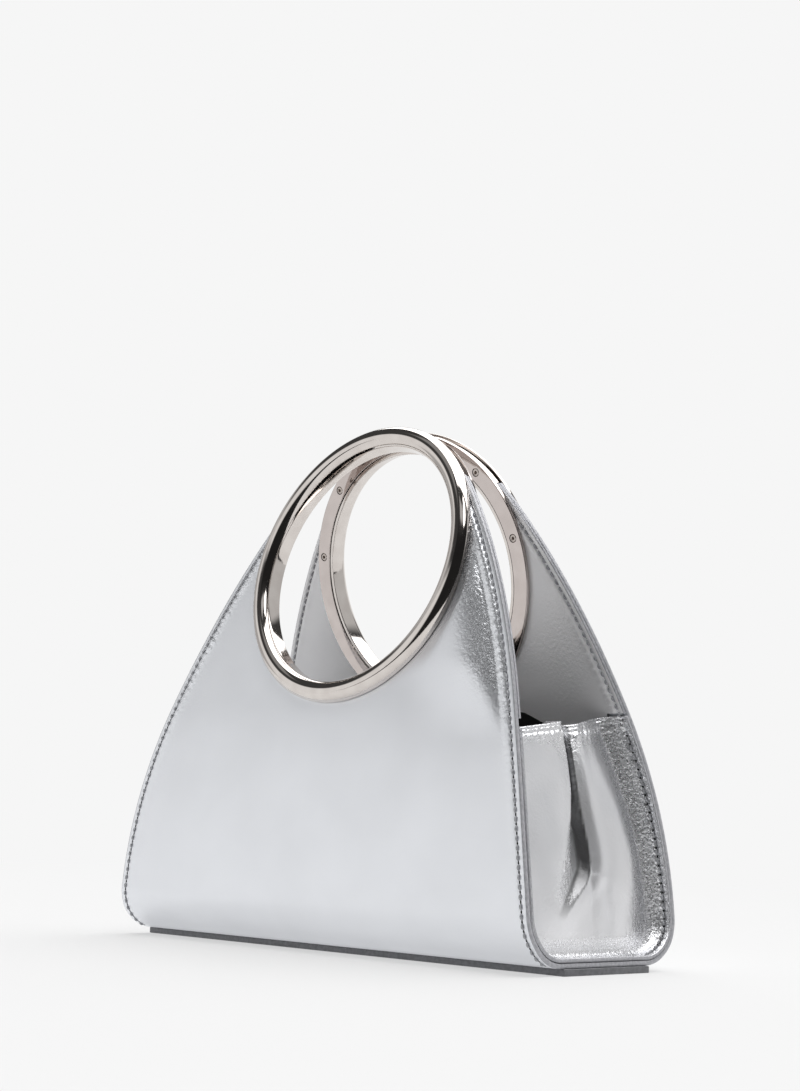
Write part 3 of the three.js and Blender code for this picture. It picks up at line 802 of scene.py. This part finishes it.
def smoothColumn(table, heights, index, soft=3.0):
    # the same with its corners rounded
    return sum(column(table, heights + d * soft, index) * w for d, w in ((-1, 0.25), (0, 0.5), (1, 0.25)))


rimHeights = np.linspace(gusset["fold"][-1][0], gusset["fold"][0][0], 260)
rimLine = np.stack([smoothColumn(gusset["fold"], rimHeights, 1), rimHeights], -1)


def foldDepth(y, z):
    # how deep the fold is and how far a place lies on its shallow side of the rim
    flat = np.stack([np.ravel(y), np.ravel(z)], -1)
    best = np.full(len(flat), 1e9)
    where = np.zeros(len(flat), int)
    for i, spot in enumerate(rimLine):
        off = (flat[:, 0] - spot[0]) ** 2 + (flat[:, 1] - spot[1]) ** 2
        closer = off < best
        best[closer], where[closer] = off[closer], i
    spot = rimLine[where]
    along = np.gradient(rimLine, axis=0)[where]
    sign = np.sign(along[:, 0] * (flat[:, 1] - spot[:, 1]) - along[:, 1] * (flat[:, 0] - spot[:, 0]))
    off = np.sqrt(best) * sign
    height = rimHeights[where]
    deep, steep, gentle = (smoothColumn(gusset["fold"], height, k, 1.5) for k in (2, 3, 4))
    share = np.clip(off / steep, 0, 1)
    wallIn = (0.5 - 0.5 * np.cos(math.pi * share ** 0.8))
    wallOut = np.exp(-(np.clip(off - steep, 0, None) / gentle) ** 2)
    return (deep * wallIn * wallOut).reshape(np.shape(y)), off.reshape(np.shape(y))


def gussetShape(y, z, span, root):
    # how far out the side piece stands at a place across and up
    innerRadius = body["bendRadius"] - thirdLayer
    toBend = innerRadius - np.hypot(np.abs(y) - flatHalf, z - bendTop)
    toBase = z - body["plateThickness"] - thirdLayer
    toWall = np.where(z < bendTop, np.where(np.abs(y) > flatHalf, toBend, toBase), span - np.abs(y))
    toWall = np.clip(toWall, 0, None)
    front = gusset["corner"]
    corner = front + (column(gusset["backCorner"], z, 1) - front) * smooth(y, 2, 16)
    near = np.clip(toWall / corner, 0, 1)
    out = corner * (1 - np.sqrt(np.clip(1 - (1 - near) ** 2, 0, 1)))
    out = np.where(out > front, front + 0.62 * (out - front), out)
    foldAt = column(gusset["fold"], np.clip(z, 30, 84), 1)
    across = y - foldAt
    half = np.where(across < 0, (y + span) / (foldAt + span), (span - y) / (span - foldAt))
    half = np.clip(half, 0, 1)
    frontLift, backLift = (smoothColumn(gusset["swell"], z, k) for k in (1, 2))
    lift = frontLift + (backLift - frontLift) * smooth(across, -4, 4)
    swell = lift * np.sin(math.pi * half ** 1.1) ** 0.9
    deep, off = foldDepth(y, z)
    lip = gusset["lip"] * bell(off + gusset["lipAt"], gusset["lipWidth"]) * smooth(z, 14, 34)
    crease = gusset["crease"] * bell(y - gusset["creaseAt"] + (z - 22) * 0.2, gusset["creaseWidth"])
    crease = crease * smooth(z, 8, 17) * (1 - smooth(z, 22, 36))
    troughDepth, troughAt, troughWidth = (smoothColumn(gusset["trough"], z, k) for k in (1, 2, 3))
    fromTrough = y - troughAt
    # the trough falls more gently on its inner side
    trough = troughDepth * bell(fromTrough / (1 + 0.7 * smooth(fromTrough, 2, -4)), troughWidth)
    (bulgeY, bulgeZ), size = gusset["bulgeAt"], gusset["bulgeSize"]
    swell = swell + gusset["bulge"] * bell(np.hypot((y - bulgeY) / size, (z - bulgeZ) / size), 1)
    ripple = gusset["ripple"] * wave2(y / 6.0, z / 12.0, 9) * smooth(toWall, 0, 4)
    return root + out + (swell - deep + lip - crease - trough) * smooth(toWall, 0, 5) + ripple, toWall


# how fast the side piece's half width and its place outwards shrink with height at the top
topSpans, topHeights = wall(np.array([gussetTravel - 3, gussetTravel]), thirdLayer)
spanLean = float((topSpans[0] - topSpans[1]) / (topHeights[1] - topHeights[0]))
rootLean = float((halfWidth(gussetTravel - 3) - halfWidth(gussetTravel)) / (topHeights[1] - topHeights[0]))


def raised(x, y, z, rise, span):
    # lifts a place near the top edge along the leaning walls
    inward = np.sign(y) * rise * spanLean * np.clip(np.abs(y) / span, 0, 1) ** 2
    return np.stack([x - rise * rootLean, y - inward, z + rise], -1)


def topEdge(y):
    # how much the top edge stands above its even height
    front, back = (np.interp(y, *zip(*gusset[key])) for key in ("topFront", "topBack"))
    return np.where(y < foldTop - gusset["topBreak"], front, back)


def hemRelief(y, below):
    # the folded hem: a raised band, puckered at each stitch
    phase = 2 * math.pi * y / stitch["pitch"]
    band = 0.3 * (1 - smooth(below, gusset["hem"] - 0.8, gusset["hem"] + 0.3))
    line = below - gusset["hemStitch"]
    sink = -0.3 * bell(line, 0.6)
    folds = gusset["pucker"] * np.cos(phase + 1.3 * line) * bell(line - 0.9, 2.0)
    folds = folds * (1 + 0.6 * wave(y / 3.7, 21))
    rim = -0.25 * bell(below - 1.0, 0.35)
    return (band + sink + rim + folds) * smooth(below, 0, 0.35)


def makeGusset(name, end):
    bend = np.linspace(0, math.pi / 2, 26)
    lowTravel = flatHalf + body["bendRadius"] * bend
    upTravel = np.arange(lowTravel[-1] + 0.6, gussetTravel - 6, gusset["rowStep"])
    travels = np.concatenate([lowTravel, upTravel, np.linspace(gussetTravel - 5.7, gussetTravel, 25)])
    spans, heights = wall(travels, thirdLayer)
    roots = halfWidth(travels) - body["flange"]
    count = gusset["columns"]
    shares = np.linspace(0, 1, count)
    # the columns stand closest at the fold and near the walls
    shares = shares ** 1.6 * 0.6 + shares * 0.4
    shares = 1 - (1 - shares) * (1 - 0.3 * shares)
    foldAt = column(gusset["fold"], np.clip(heights, 32, 84), 1) - 2.0 * smooth(heights, 60, 30)
    foldAt = foldAt * smooth(heights, 4, 30)
    ySide = np.concatenate([
        foldAt[:, None] - (foldAt + spans)[:, None] * shares[::-1][None, :],
        foldAt[:, None] + (spans - foldAt)[:, None] * shares[None, 1:]], 1)
    z = heights[:, None] + 0 * ySide
    x, toWall = gussetShape(ySide, z, spans[:, None], roots[:, None])
    x = x + hemRelief(ySide, heights[-1] - z) * smooth(toWall, 0, 3)
    x[0] = roots[0] + gusset["corner"]
    x[:, 0] = roots + gusset["corner"]
    x[:, -1] = x[:, 0] + 0.45 * (column(gusset["backCorner"], heights, 1) - gusset["corner"])
    top = heights[-1]
    rise = smooth(z, top - gusset["topRun"], top) * topEdge(ySide)
    grid = raised(x, ySide, z, rise, spans[:, None])
    rows, columns = x.shape
    points = list(grid.reshape(-1, 3))
    index = np.arange(rows * columns).reshape(rows, columns)
    faces = [(index[r, c], index[r, c + 1], index[r + 1, c + 1], index[r + 1, c])
             for r in range(rows - 1) for c in range(columns - 1)]
    rim = ([(index[r, 0], travels[r], -1) for r in range(rows - 1, -1, -1)]
           + [(index[0, c], 0, 0) for c in range(1, columns - 1)]
           + [(index[r, -1], travels[r], 1) for r in range(rows)])
    rises = [float(rise.ravel()[i]) for i, _, _ in rim]
    previous = [i for i, _, _ in rim]
    steps = gusset["flangeSteps"]
    for step in range(1, steps + 1):
        current = []
        for (i, travel, side), lifted in zip(rim, rises):
            start = points[i]
            edge = float(halfWidth(travel)) - lifted * rootLean
            xNow = start[0] + (edge - start[0]) * step / steps
            inward = flangeRelief(edge - xNow, float(arcAt(travel)), travel) * (side != 0)
            points.append((xNow, start[1] - side * inward, start[2]))
            current.append(len(points) - 1)
        faces += [(previous[k], current[k], current[k + 1], previous[k + 1]) for k in range(len(rim) - 1)]
        previous = current
    points = np.array(points)
    y, height = points[:, 1], points[:, 2]
    # grain where the leather is worked: behind, in the scoop before the fold, at the hem, below and on the
    # crest between
    scoop = bell((y + 13 - 0.4 * (height - 25)) / (7 - 0.1 * (height - 25)), 1) * smooth(height, 17, 24)
    crumple = smooth(y, 15, 25) + gusset["scoopGrain"] * scoop * (1 - smooth(height, 44, 53))
    crumple = crumple + 0.9 * smooth(height, top - 14, top - 3) + 0.15 + (1 - smooth(height, 8, 16))
    crumple = crumple + 0.7 * bell(y + 3, 5) * smooth(height, 42, 56)
    # painted shade: the fold's steep wall is painted darker, as it sees only its neighbour; the attribute
    # crease carries this mask
    off = foldDepth(y, height)[1]
    steep = smoothColumn(gusset["fold"], height, 3) * (1 - 0.25 * smooth(height, 40, 55))
    crease = smooth(off, -0.35, 0.25) * (1 - smooth(off, 0.85 * steep, 1.25 * steep))
    crease = crease * smooth(height, 16, 24)
    crease = crease * (1 - smooth(height, top - 5, top - 3)) * (1 - 0.25 * smooth(height, 32, 24))
    if end < 0:
        points = points * np.array([-1, -1, 1])
    item = finishMesh(name, points, faces, [silverCrushed, edgePaint], sharp=70, merge=False,
                      values={"crinkle": np.clip(crumple, 0, 1), "crease": crease})
    if item.data.polygons[len(faces) // 3].normal.x * end < 0:
        item.data.flip_normals()
    solid = item.modifiers.new("thickness", "SOLIDIFY")
    solid.thickness = body["gusset"] * 0.001
    solid.offset = -1
    solid.use_even_offset = False
    solid.material_offset_rim = 1
    return applyModifiers(item)


def flangeRelief(fromEdge, arc, travel):
    # the flange sinks at its stitches and puckers between them
    phase = 2 * math.pi * (arc / stitch["pitch"] - 0.5)
    line = fromEdge - stitch["fromEdge"]
    shape = -0.22 * bell(line, 0.55)
    shape += 0.3 * bell(line - 1.5, 1.0) * (1 + 0.45 * math.cos(phase + 0.8 * line))
    shape += 0.12 * bell(line, 0.8) * math.cos(phase) + 0.1 * bell(line + 1.3, 0.6) * math.cos(phase)
    clear = smooth(fromEdge, 0.1, 0.9) * smooth(travel, flatHalf + 4, flatHalf + 12)
    return gusset["flangePucker"] * float(shape) * float(clear)


for end, name in ((1, "right"), (-1, "left")):
    item = makeGusset("gusset" + name.capitalize(), end)
    place(item, "silver_leather", "gusset_" + name)
print("stage: gussets")


def makeBasePlate():
    # a flat board with softened edges
    half = body["plateLength"] / 2
    points = [(x, y, z) for x in (-half, half) for y in (-flatHalf, flatHalf)
              for z in (0, body["plateThickness"])]
    faces = [(0, 1, 3, 2), (4, 6, 7, 5), (0, 4, 5, 1), (2, 3, 7, 6), (1, 5, 7, 3), (0, 2, 6, 4)]
    item = finishMesh("basePlate", points, faces, [plateLookPaintedShade])
    bevel = item.modifiers.new("edges", "BEVEL")
    bevel.width = 0.00035
    bevel.segments = 3
    applyModifiers(item)
    item.data.shade_smooth()
    item.data.set_sharp_from_angle(angle=math.radians(40))
    return item


place(makeBasePlate(), "plate_leather", "base_plate")
print("stage: base plate")


# each ring is made flat round z, facing outwards, and then put on its panel
ringY, ringZ = (float(v) for v in wall(ringTravel, 0))
frontFrame = (Matrix.Translation(Vector((0, -ringY, ringZ)) * 0.001)
              @ Matrix.Rotation(math.pi / 2 - lean, 4, "X"))
backFrame = Matrix.Rotation(math.pi, 4, "Z") @ frontFrame


def newTree(name, inputs):
    # a Geometry Nodes tree with named inputs, and each input's identifier by its name
    tree = bpy.data.node_groups.new(name, "GeometryNodeTree")
    tree.is_modifier = True
    names = {}
    for label, kind in [("Geometry", "Geometry"), *inputs]:
        socket = tree.interface.new_socket(label, in_out="INPUT", socket_type="NodeSocket" + kind)
        names[label] = socket.identifier
    tree.interface.new_socket("Geometry", in_out="OUTPUT", socket_type="NodeSocketGeometry")
    return tree, names


def endTree(tree, start, geometry):
    # real meshes in the finish that the tree's input names
    real = addNode(tree, "GeometryNodeRealizeInstances", {0: geometry})
    paint = addNode(tree, "GeometryNodeSetMaterial", {
        0: real.outputs[0], "Material": start.outputs["Look"]})
    addNode(tree, "NodeGroupOutput", {0: paint.outputs[0]})


def runTree(name, mesh, tree, names, values):
    # a new object with the mesh that the tree makes of the one given
    item = newItem(name, mesh)
    modifier = item.modifiers.new("nodes", "NODES")
    modifier.node_group = tree
    for label, value in values.items():
        modifier[names[label]] = value
    return applyModifiers(item)


def turnedTree():
    # turns a section, drawn as edges in x (radius) and y (level), into a full ring about z
    tree, names = newTree("turnedRing", [("Radius", "Float"), ("Turns", "Int"), ("Look", "Material")])
    start = addNode(tree, "NodeGroupInput")
    section = addNode(tree, "GeometryNodeMeshToCurve", {0: start.outputs[0]})
    path = addNode(tree, "GeometryNodeCurvePrimitiveCircle",
                   {"Radius": start.outputs["Radius"], "Resolution": start.outputs["Turns"]}, mode="RADIUS")
    sweep = addNode(tree, "GeometryNodeCurveToMesh", {0: path.outputs["Curve"], 1: section.outputs[0]})
    soft = addNode(tree, "GeometryNodeSetShadeSmooth", {0: sweep.outputs[0]})
    endTree(tree, start, soft.outputs[0])
    return tree, names


ringTree, ringSockets = turnedTree()


def tidyMesh(item, sharp=38):
    # merges, turns every face outwards and marks the sharp edges
    work = bmesh.new()
    work.from_mesh(item.data)
    bmesh.ops.remove_doubles(work, verts=work.verts, dist=2e-6)
    bmesh.ops.recalc_face_normals(work, faces=work.faces)
    work.to_mesh(item.data)
    work.free()
    item.data.shade_smooth()
    item.data.set_sharp_from_angle(angle=math.radians(sharp))
    return item


def turnRing(name, section, look):
    # section: (radius, level) in millimetres, closed
    mesh = bpy.data.meshes.new(name)
    middle = (ringRadius + holeRadius) / 2
    count = len(section)
    mesh.from_pydata([((r - middle) * 0.001, -z * 0.001, 0) for r, z in section],
                     [(i, (i + 1) % count) for i in range(count)], [])
    return tidyMesh(runTree(name, mesh, ringTree, ringSockets, {
        "Radius": middle * 0.001, "Turns": ring["turns"], "Look": look}))


def roundCorner(before, corner, after, radius, steps=4):
    # points that round one corner of a section
    b, c, a = (np.array(p, float) for p in (before, corner, after))
    u = (b - c) / np.linalg.norm(b - c)
    v = (a - c) / np.linalg.norm(a - c)
    start, end = c + u * radius, c + v * radius
    share = np.linspace(0, 1, steps + 1)[:, None]
    return [tuple(p) for p in (1 - share) ** 2 * start + 2 * share * (1 - share) * c + share ** 2 * end]


def shellSection():
    # outer half of the handle: round crown, and a collar through the leather's cut
    top = ring["depth"] - stack
    foot = top - ring["crown"]
    middle = (ringRadius + holeRadius) / 2
    half = ring["width"] / 2
    deep = -stack + ring["chamfer"]
    collar = holeRadius + ring["collar"]
    crown = [(middle + half * math.cos(a), foot + ring["crown"] * math.sin(a))
             for a in np.linspace(0, math.pi, 29)]
    low = body["glue"]
    return (roundCorner((collar, low), (ringRadius, low), (ringRadius, foot), 0.25) + crown
            + roundCorner((holeRadius, foot), (holeRadius, deep), (collar, deep), 0.25)
            + [(collar, deep), (collar, low)])


def plateSection():
    # flat inner half of the handle, its edges chamfered
    face, back, chamfer = -stack, -stack + ring["plate"], ring["chamfer"]
    return (roundCorner((leatherHole, back), (leatherHole, face), (ringRadius, face), chamfer)
            + roundCorner((leatherHole, face), (ringRadius, face), (ringRadius, back), chamfer)
            + [(ringRadius, back), (leatherHole, back)])


def spacerMesh(name, look):
    # the arc of metal that fills the space between shell and plate above the leather
    armTop = ringRadius * math.sin(math.radians(ring["armAngle"])) + body["clearance"]
    outside, inner = ringRadius - ring["rimRecess"], holeRadius + ring["collar"] / 2
    low, high = -stack + ring["plate"] + body["glue"] / 2, body["glue"] + 0.4
    count = 97
    points = []
    turns = {r: np.linspace(math.asin(armTop / r), math.pi - math.asin(armTop / r), count)
             for r in (outside, inner)}
    for i in range(count):
        for r, level in ((outside, low), (outside, high), (inner, high), (inner, low)):
            points.append((r * math.cos(turns[r][i]), r * math.sin(turns[r][i]), level))
    last = (count - 1) * 4
    faces = tubeFaces(count, 4) + [(3, 2, 1, 0), (last, last + 1, last + 2, last + 3)]
    return finishMesh(name, points, faces, [look])


def joinInto(item, other):
    # adds another object's mesh to this one
    work = bmesh.new()
    work.from_mesh(item.data)
    work.from_mesh(other.data)
    work.to_mesh(item.data)
    work.free()
    bpy.data.objects.remove(other)
    return item


def screwPlaces():
    radius = (leatherHole + ringRadius) / 2
    return [(radius * math.cos(math.radians(a)), radius * math.sin(math.radians(a)))
            for a in ring["screwAngles"]]


def cutScrewHoles(item):
    # sunk round seats for the screw heads
    points, faces = [], []
    sides = 28
    radius = ring["screwHead"] / 2 + ring["screwGap"]
    for x, y in screwPlaces():
        start = len(points)
        for level in (-stack - 1, -stack + ring["screwDeep"] + 0.15):
            points += [(x + radius * c, y + radius * s, level) for c, s in circle(sides)]
        faces += tubeFaces(2, sides, start)
        faces += [tuple(start + k for k in reversed(range(sides))),
                  tuple(start + sides + k for k in range(sides))]
    cutter = finishMesh("cutter", points, faces, [])
    cut = item.modifiers.new("holes", "BOOLEAN")
    cut.object = cutter
    cut.operation = "DIFFERENCE"
    cut.solver = "EXACT"
    applyModifiers(item)
    bpy.data.objects.remove(cutter)
    item.data.shade_smooth()
    item.data.set_sharp_from_angle(angle=math.radians(30))
    return item


def spinMesh(name, profile, sides, look):
    # a closed round body about z from radius and level, starting and ending on the axis
    points = [(r * c, r * s, z) for r, z in profile for c, s in circle(sides)]
    return finishMesh(name, points, tubeFaces(len(profile), sides), [look], sharp=35)


def repeatTree(name):
    # puts a small part on every point, turned by the point's own angles and a little at random
    tree, names = newTree(name, [("Part", "Object"), ("Look", "Material"), ("Jitter", "Float"),
                                 ("Seed", "Int")])
    start = addNode(tree, "NodeGroupInput")
    part = addNode(tree, "GeometryNodeObjectInfo", {"Object": start.outputs["Part"]},
                   transform_space="ORIGINAL")
    spin = addNode(tree, "GeometryNodeInputNamedAttribute", {"Name": "spin"}, data_type="FLOAT_VECTOR")
    turn = addNode(tree, "FunctionNodeEulerToRotation", {0: spin.outputs[0]})
    low = addNode(tree, "ShaderNodeMath", {0: start.outputs["Jitter"], 1: -1.0}, operation="MULTIPLY")
    random = addNode(tree, "FunctionNodeRandomValue", {
        2: low.outputs[0], 3: start.outputs["Jitter"], "Seed": start.outputs["Seed"]}, data_type="FLOAT")
    yaw = addNode(tree, "ShaderNodeCombineXYZ", {2: random.outputs[1]})
    yawTurn = addNode(tree, "FunctionNodeEulerToRotation", {0: yaw.outputs[0]})
    both = addNode(tree, "FunctionNodeRotateRotation", {0: turn.outputs[0], 1: yawTurn.outputs[0]},
                   rotation_space="LOCAL")
    dots = addNode(tree, "GeometryNodeMeshToPoints", {0: start.outputs[0]})
    copies = addNode(tree, "GeometryNodeInstanceOnPoints", {
        "Points": dots.outputs[0], "Instance": part.outputs["Geometry"], "Rotation": both.outputs[0]})
    endTree(tree, start, copies.outputs[0])
    return tree, names


partTree, partSockets = repeatTree("partOnPoints")


def onPoints(name, points, spins, part, look, jitter=0.0, seed=1):
    # points in millimetres, spins as Euler angles
    mesh = bpy.data.meshes.new(name)
    mesh.from_pydata([tuple(p) for p in np.asarray(points, float) * 0.001], [], [])
    layer = mesh.attributes.new("spin", "FLOAT_VECTOR", "POINT")
    layer.data.foreach_set("vector", np.asarray(spins, np.float32).ravel())
    return runTree(name, mesh, partTree, partSockets, {
        "Part": part, "Look": look, "Jitter": jitter, "Seed": seed})


# a screw head, flush with the plate: a shallow socket in the middle, then radius and level outwards
screwFace = -stack + 0.05
screwProfile = [(0, 0.7), (0.52, 0.7), (0.58, 0.04), (0.64, 0), (1.22, 0), (1.35, 0.13),
                (1.35, 0.95), (0, 0.95)]
screwPart = spinMesh("screwPart", [(r, screwFace + level) for r, level in screwProfile], 24, screwLook)
for side, spot in (("Front", frontFrame), ("Back", backFrame)):
    small = side.lower()
    shell = joinInto(turnRing("ringShell" + side, shellSection(), nickel), spacerMesh("spacer", nickel))
    shell.data.transform(spot)
    place(shell, "ring_metal", "ring_shell_" + small)
    plate = cutScrewHoles(turnRing("ringPlate" + side, plateSection(), plateNickel))
    plate.data.transform(spot)
    place(plate, "ring_metal", "ring_plate_" + small)
    spots = [(x, y, 0) for x, y in screwPlaces()]
    screws = onPoints("ringScrews" + side, spots, [(0, 0, 0.4 * k) for k in range(len(spots))], screwPart,
                      screwLook)
    screws.data.transform(spot)
    screws.data.set_sharp_from_angle(angle=math.radians(35))
    place(screws, "ring_metal", *["ring_screw_%s_%d" % (small, k + 1) for k in range(len(spots))])
bpy.data.objects.remove(screwPart)
print("stage: ring handles")


def stitchPart():
    # one stitch: a short bowed thread whose ends dive into the leather
    sides, steps = 6, 7
    half, radius = stitch["length"] / 2, stitch["thread"] / 2
    points = []
    for u in (-1 + 2 * i / (steps - 1) for i in range(steps)):
        r = radius * (1 - stitch["taper"] * abs(u) ** 3)
        lift = stitch["lift"] - stitch["dive"] * abs(u) ** 2.4
        points += [(half * u, r * c, lift + 0.8 * r * s) for c, s in circle(sides)]
    faces = tubeFaces(steps, sides)
    faces += [tuple(range(sides)), tuple((steps - 1) * sides + k for k in range(sides))]
    return finishMesh("stitchPart", points, faces, [threadLook], sharp=80)


def holePart(name, r):
    # a needle hole: a small dark dimple
    sides = 8
    points = [(r * c, 0.85 * r * s, 0.06) for c, s in circle(sides)]
    points += [(0.9 * r * c, 0.8 * r * s, -0.25) for c, s in circle(sides)]
    faces = tubeFaces(2, sides) + [tuple(range(sides)), tuple(sides + k for k in range(sides))]
    return finishMesh(name, points, faces, [holeLook], sharp=80)


def eulers(along, outward):
    # angles that turn x along the row and z outward
    out = []
    for u, n in zip(along, outward):
        z = Vector(n)
        x = Vector(u)
        x = (x - z * x.dot(z)).normalized()
        y = z.cross(x)
        out.append(tuple(Matrix((x, y, z)).transposed().to_euler("XYZ")))
    return out


threadPart = stitchPart()
dimples = {
    "wide": holePart("wideHole", stitch["hole"]), "small": holePart("smallHole", stitch["smallHole"]),
}


def stitchRow(name, slot, stitches, holes, seed, slope=0.12, look=threadLook, dimple="wide"):
    # stitches and holes are given as places, directions along the row and directions outwards
    thread = onPoints(name, stitches[0], eulers(*stitches[1:]), threadPart, look, jitter=slope, seed=seed)
    dots = onPoints(name + "Holes", holes[0], eulers(*holes[1:]), dimples[dimple], holeLook)
    return place(joinMeshes(thread, dots), slot)


def joinMeshes(first, second):
    # keeps both materials
    looks = [first.data.materials[0], second.data.materials[0]]
    work = bmesh.new()
    work.from_mesh(first.data)
    count = len(work.faces)
    work.from_mesh(second.data)
    work.faces.ensure_lookup_table()
    for i, f in enumerate(work.faces):
        f.material_index = 0 if i < count else 1
        f.smooth = True
    mesh = bpy.data.meshes.new(first.name)
    work.to_mesh(mesh)
    work.free()
    for look in looks:
        mesh.materials.append(look)
    mesh.set_sharp_from_angle(angle=math.radians(80))
    old = first.data
    first.data = mesh
    bpy.data.meshes.remove(old)
    bpy.data.objects.remove(second)
    mesh.name = first.name
    return first


def edgeRow(side, end, low, high, depth, flip, reliefOf, cover=0):
    # one row beside a side edge: stitches between whole steps of the pitch, holes on the steps,
    # and none within the distance cover of the ring's middle
    pitch, inward, probe = (stitch[key] for key in ("pitch", "fromEdge", "probe"))
    first, last = math.ceil(arcAt(low) / pitch), math.floor(arcAt(high) / pitch)

    def rowPlace(foot):
        tilt = tiltAt(foot)
        return halfWidth(foot) - inward * np.cos(tilt), foot - inward * np.sin(tilt)

    def spot(foot, inset):
        x, t = rowPlace(foot)
        return onWall(side, end * x, t, inset)

    result = []
    for shift in (0.5, 0.0):
        arcs = (np.arange(first, last + (shift == 0)) + shift) * pitch
        feet = np.interp(arcs, edgeArc, edgeTravel)
        x, t = rowPlace(feet)
        keep = np.hypot(x, t - ringTravel) > cover
        feet, arcs, x, t = feet[keep], arcs[keep], x[keep], t[keep]
        lift = reliefOf({"x": end * x, "t": t, "perp": inward + 0 * t, "arc": arcs, "side": side + 0 * t,
                         "end": end})
        along = spot(feet + probe, depth) - spot(feet - probe, depth)
        outward = (onWall(side, 0, feet, -1.0) - onWall(side, 0, feet, 0.0)) * flip
        result.append((spot(feet, depth - flip * lift), unit(along), unit(outward)))
    return result


def joinRows(rows):
    # rows of (stitches, holes) as one long list each
    return [[np.concatenate([row[kind][part] for row in rows]) for part in range(3)] for kind in range(2)]


# each row: name, slot, lowest and highest travel, depth in the wall, facing, relief, what the ring covers,
# seed and needle hole
underRing = ringRadius + 0.4
insideDepth = secondLayer + body["facing"]
edgeRows = [
    ("", "silver_leather", flatHalf + 3, armTravel,
     0, 1, wrapRelief, underRing, 5, "wide"),
    ("Inside", "inside_leather", gussetTravel + 3, armTravel,
     insideDepth, -1, facingRelief, underRing, 8, "wide"),
    ("Flange", "silver_leather", flatHalf + 1, gussetTravel - 1,
     thirdLayer, -1, zeroRelief, 0, 11, "small"),
]
for side, name in ((-1, "Front"), (1, "Back")):
    for label, slot, low, high, depth, flip, reliefOf, cover, seed, dimple in edgeRows:
        rows = joinRows([edgeRow(side, end, low, high, depth, flip, reliefOf, cover) for end in (-1, 1)])
        stitchRow("stitches" + label + name, slot, *rows, seed=seed, dimple=dimple)


def gussetTopRow(end):
    # stitches along the hem below the side piece's top edge, either side of the fold
    drop, pitch, probe = gusset["hemStitch"], stitch["pitch"], stitch["probe"]
    span, top = (float(v) for v in wall(gussetTravel, thirdLayer))
    root = float(halfWidth(gussetTravel)) - body["flange"]

    def surface(y, z):
        x, toWall = gussetShape(y, z, span + 0 * y, root + 0 * y)
        x = x + hemRelief(y, top - z) * smooth(toWall, 0, 3)
        return raised(x, y, z, smooth(z, top - gusset["topRun"], top) * topEdge(y), span)

    result = []
    for shift in (0.0, 0.5):
        y = (np.arange(-9, 10) + shift) * pitch
        y = y[(np.abs(y) < span - 2.6) & ((y < foldTop - 3.2) | (y > foldTop + 1.4))]
        z = top - drop + 0 * y
        along = surface(y + probe, z) - surface(y - probe, z)
        outward = np.cross(along, surface(y, z + probe) - surface(y, z - probe))
        result.append([v * np.array([end, end, 1]) for v in (surface(y, z), unit(along), unit(outward))])
    return result


# the hem's stitches use the darker thread, painted shade from the hem's puckers
for end, name in ((1, "Right"), (-1, "Left")):
    stitchRow("stitchesGusset" + name, "silver_leather", *gussetTopRow(end), seed=14, slope=0.3,
              look=hemThreadPaintedShade)
bpy.data.objects.remove(threadPart)
for part in dimples.values():
    bpy.data.objects.remove(part)
print("stage: stitches")
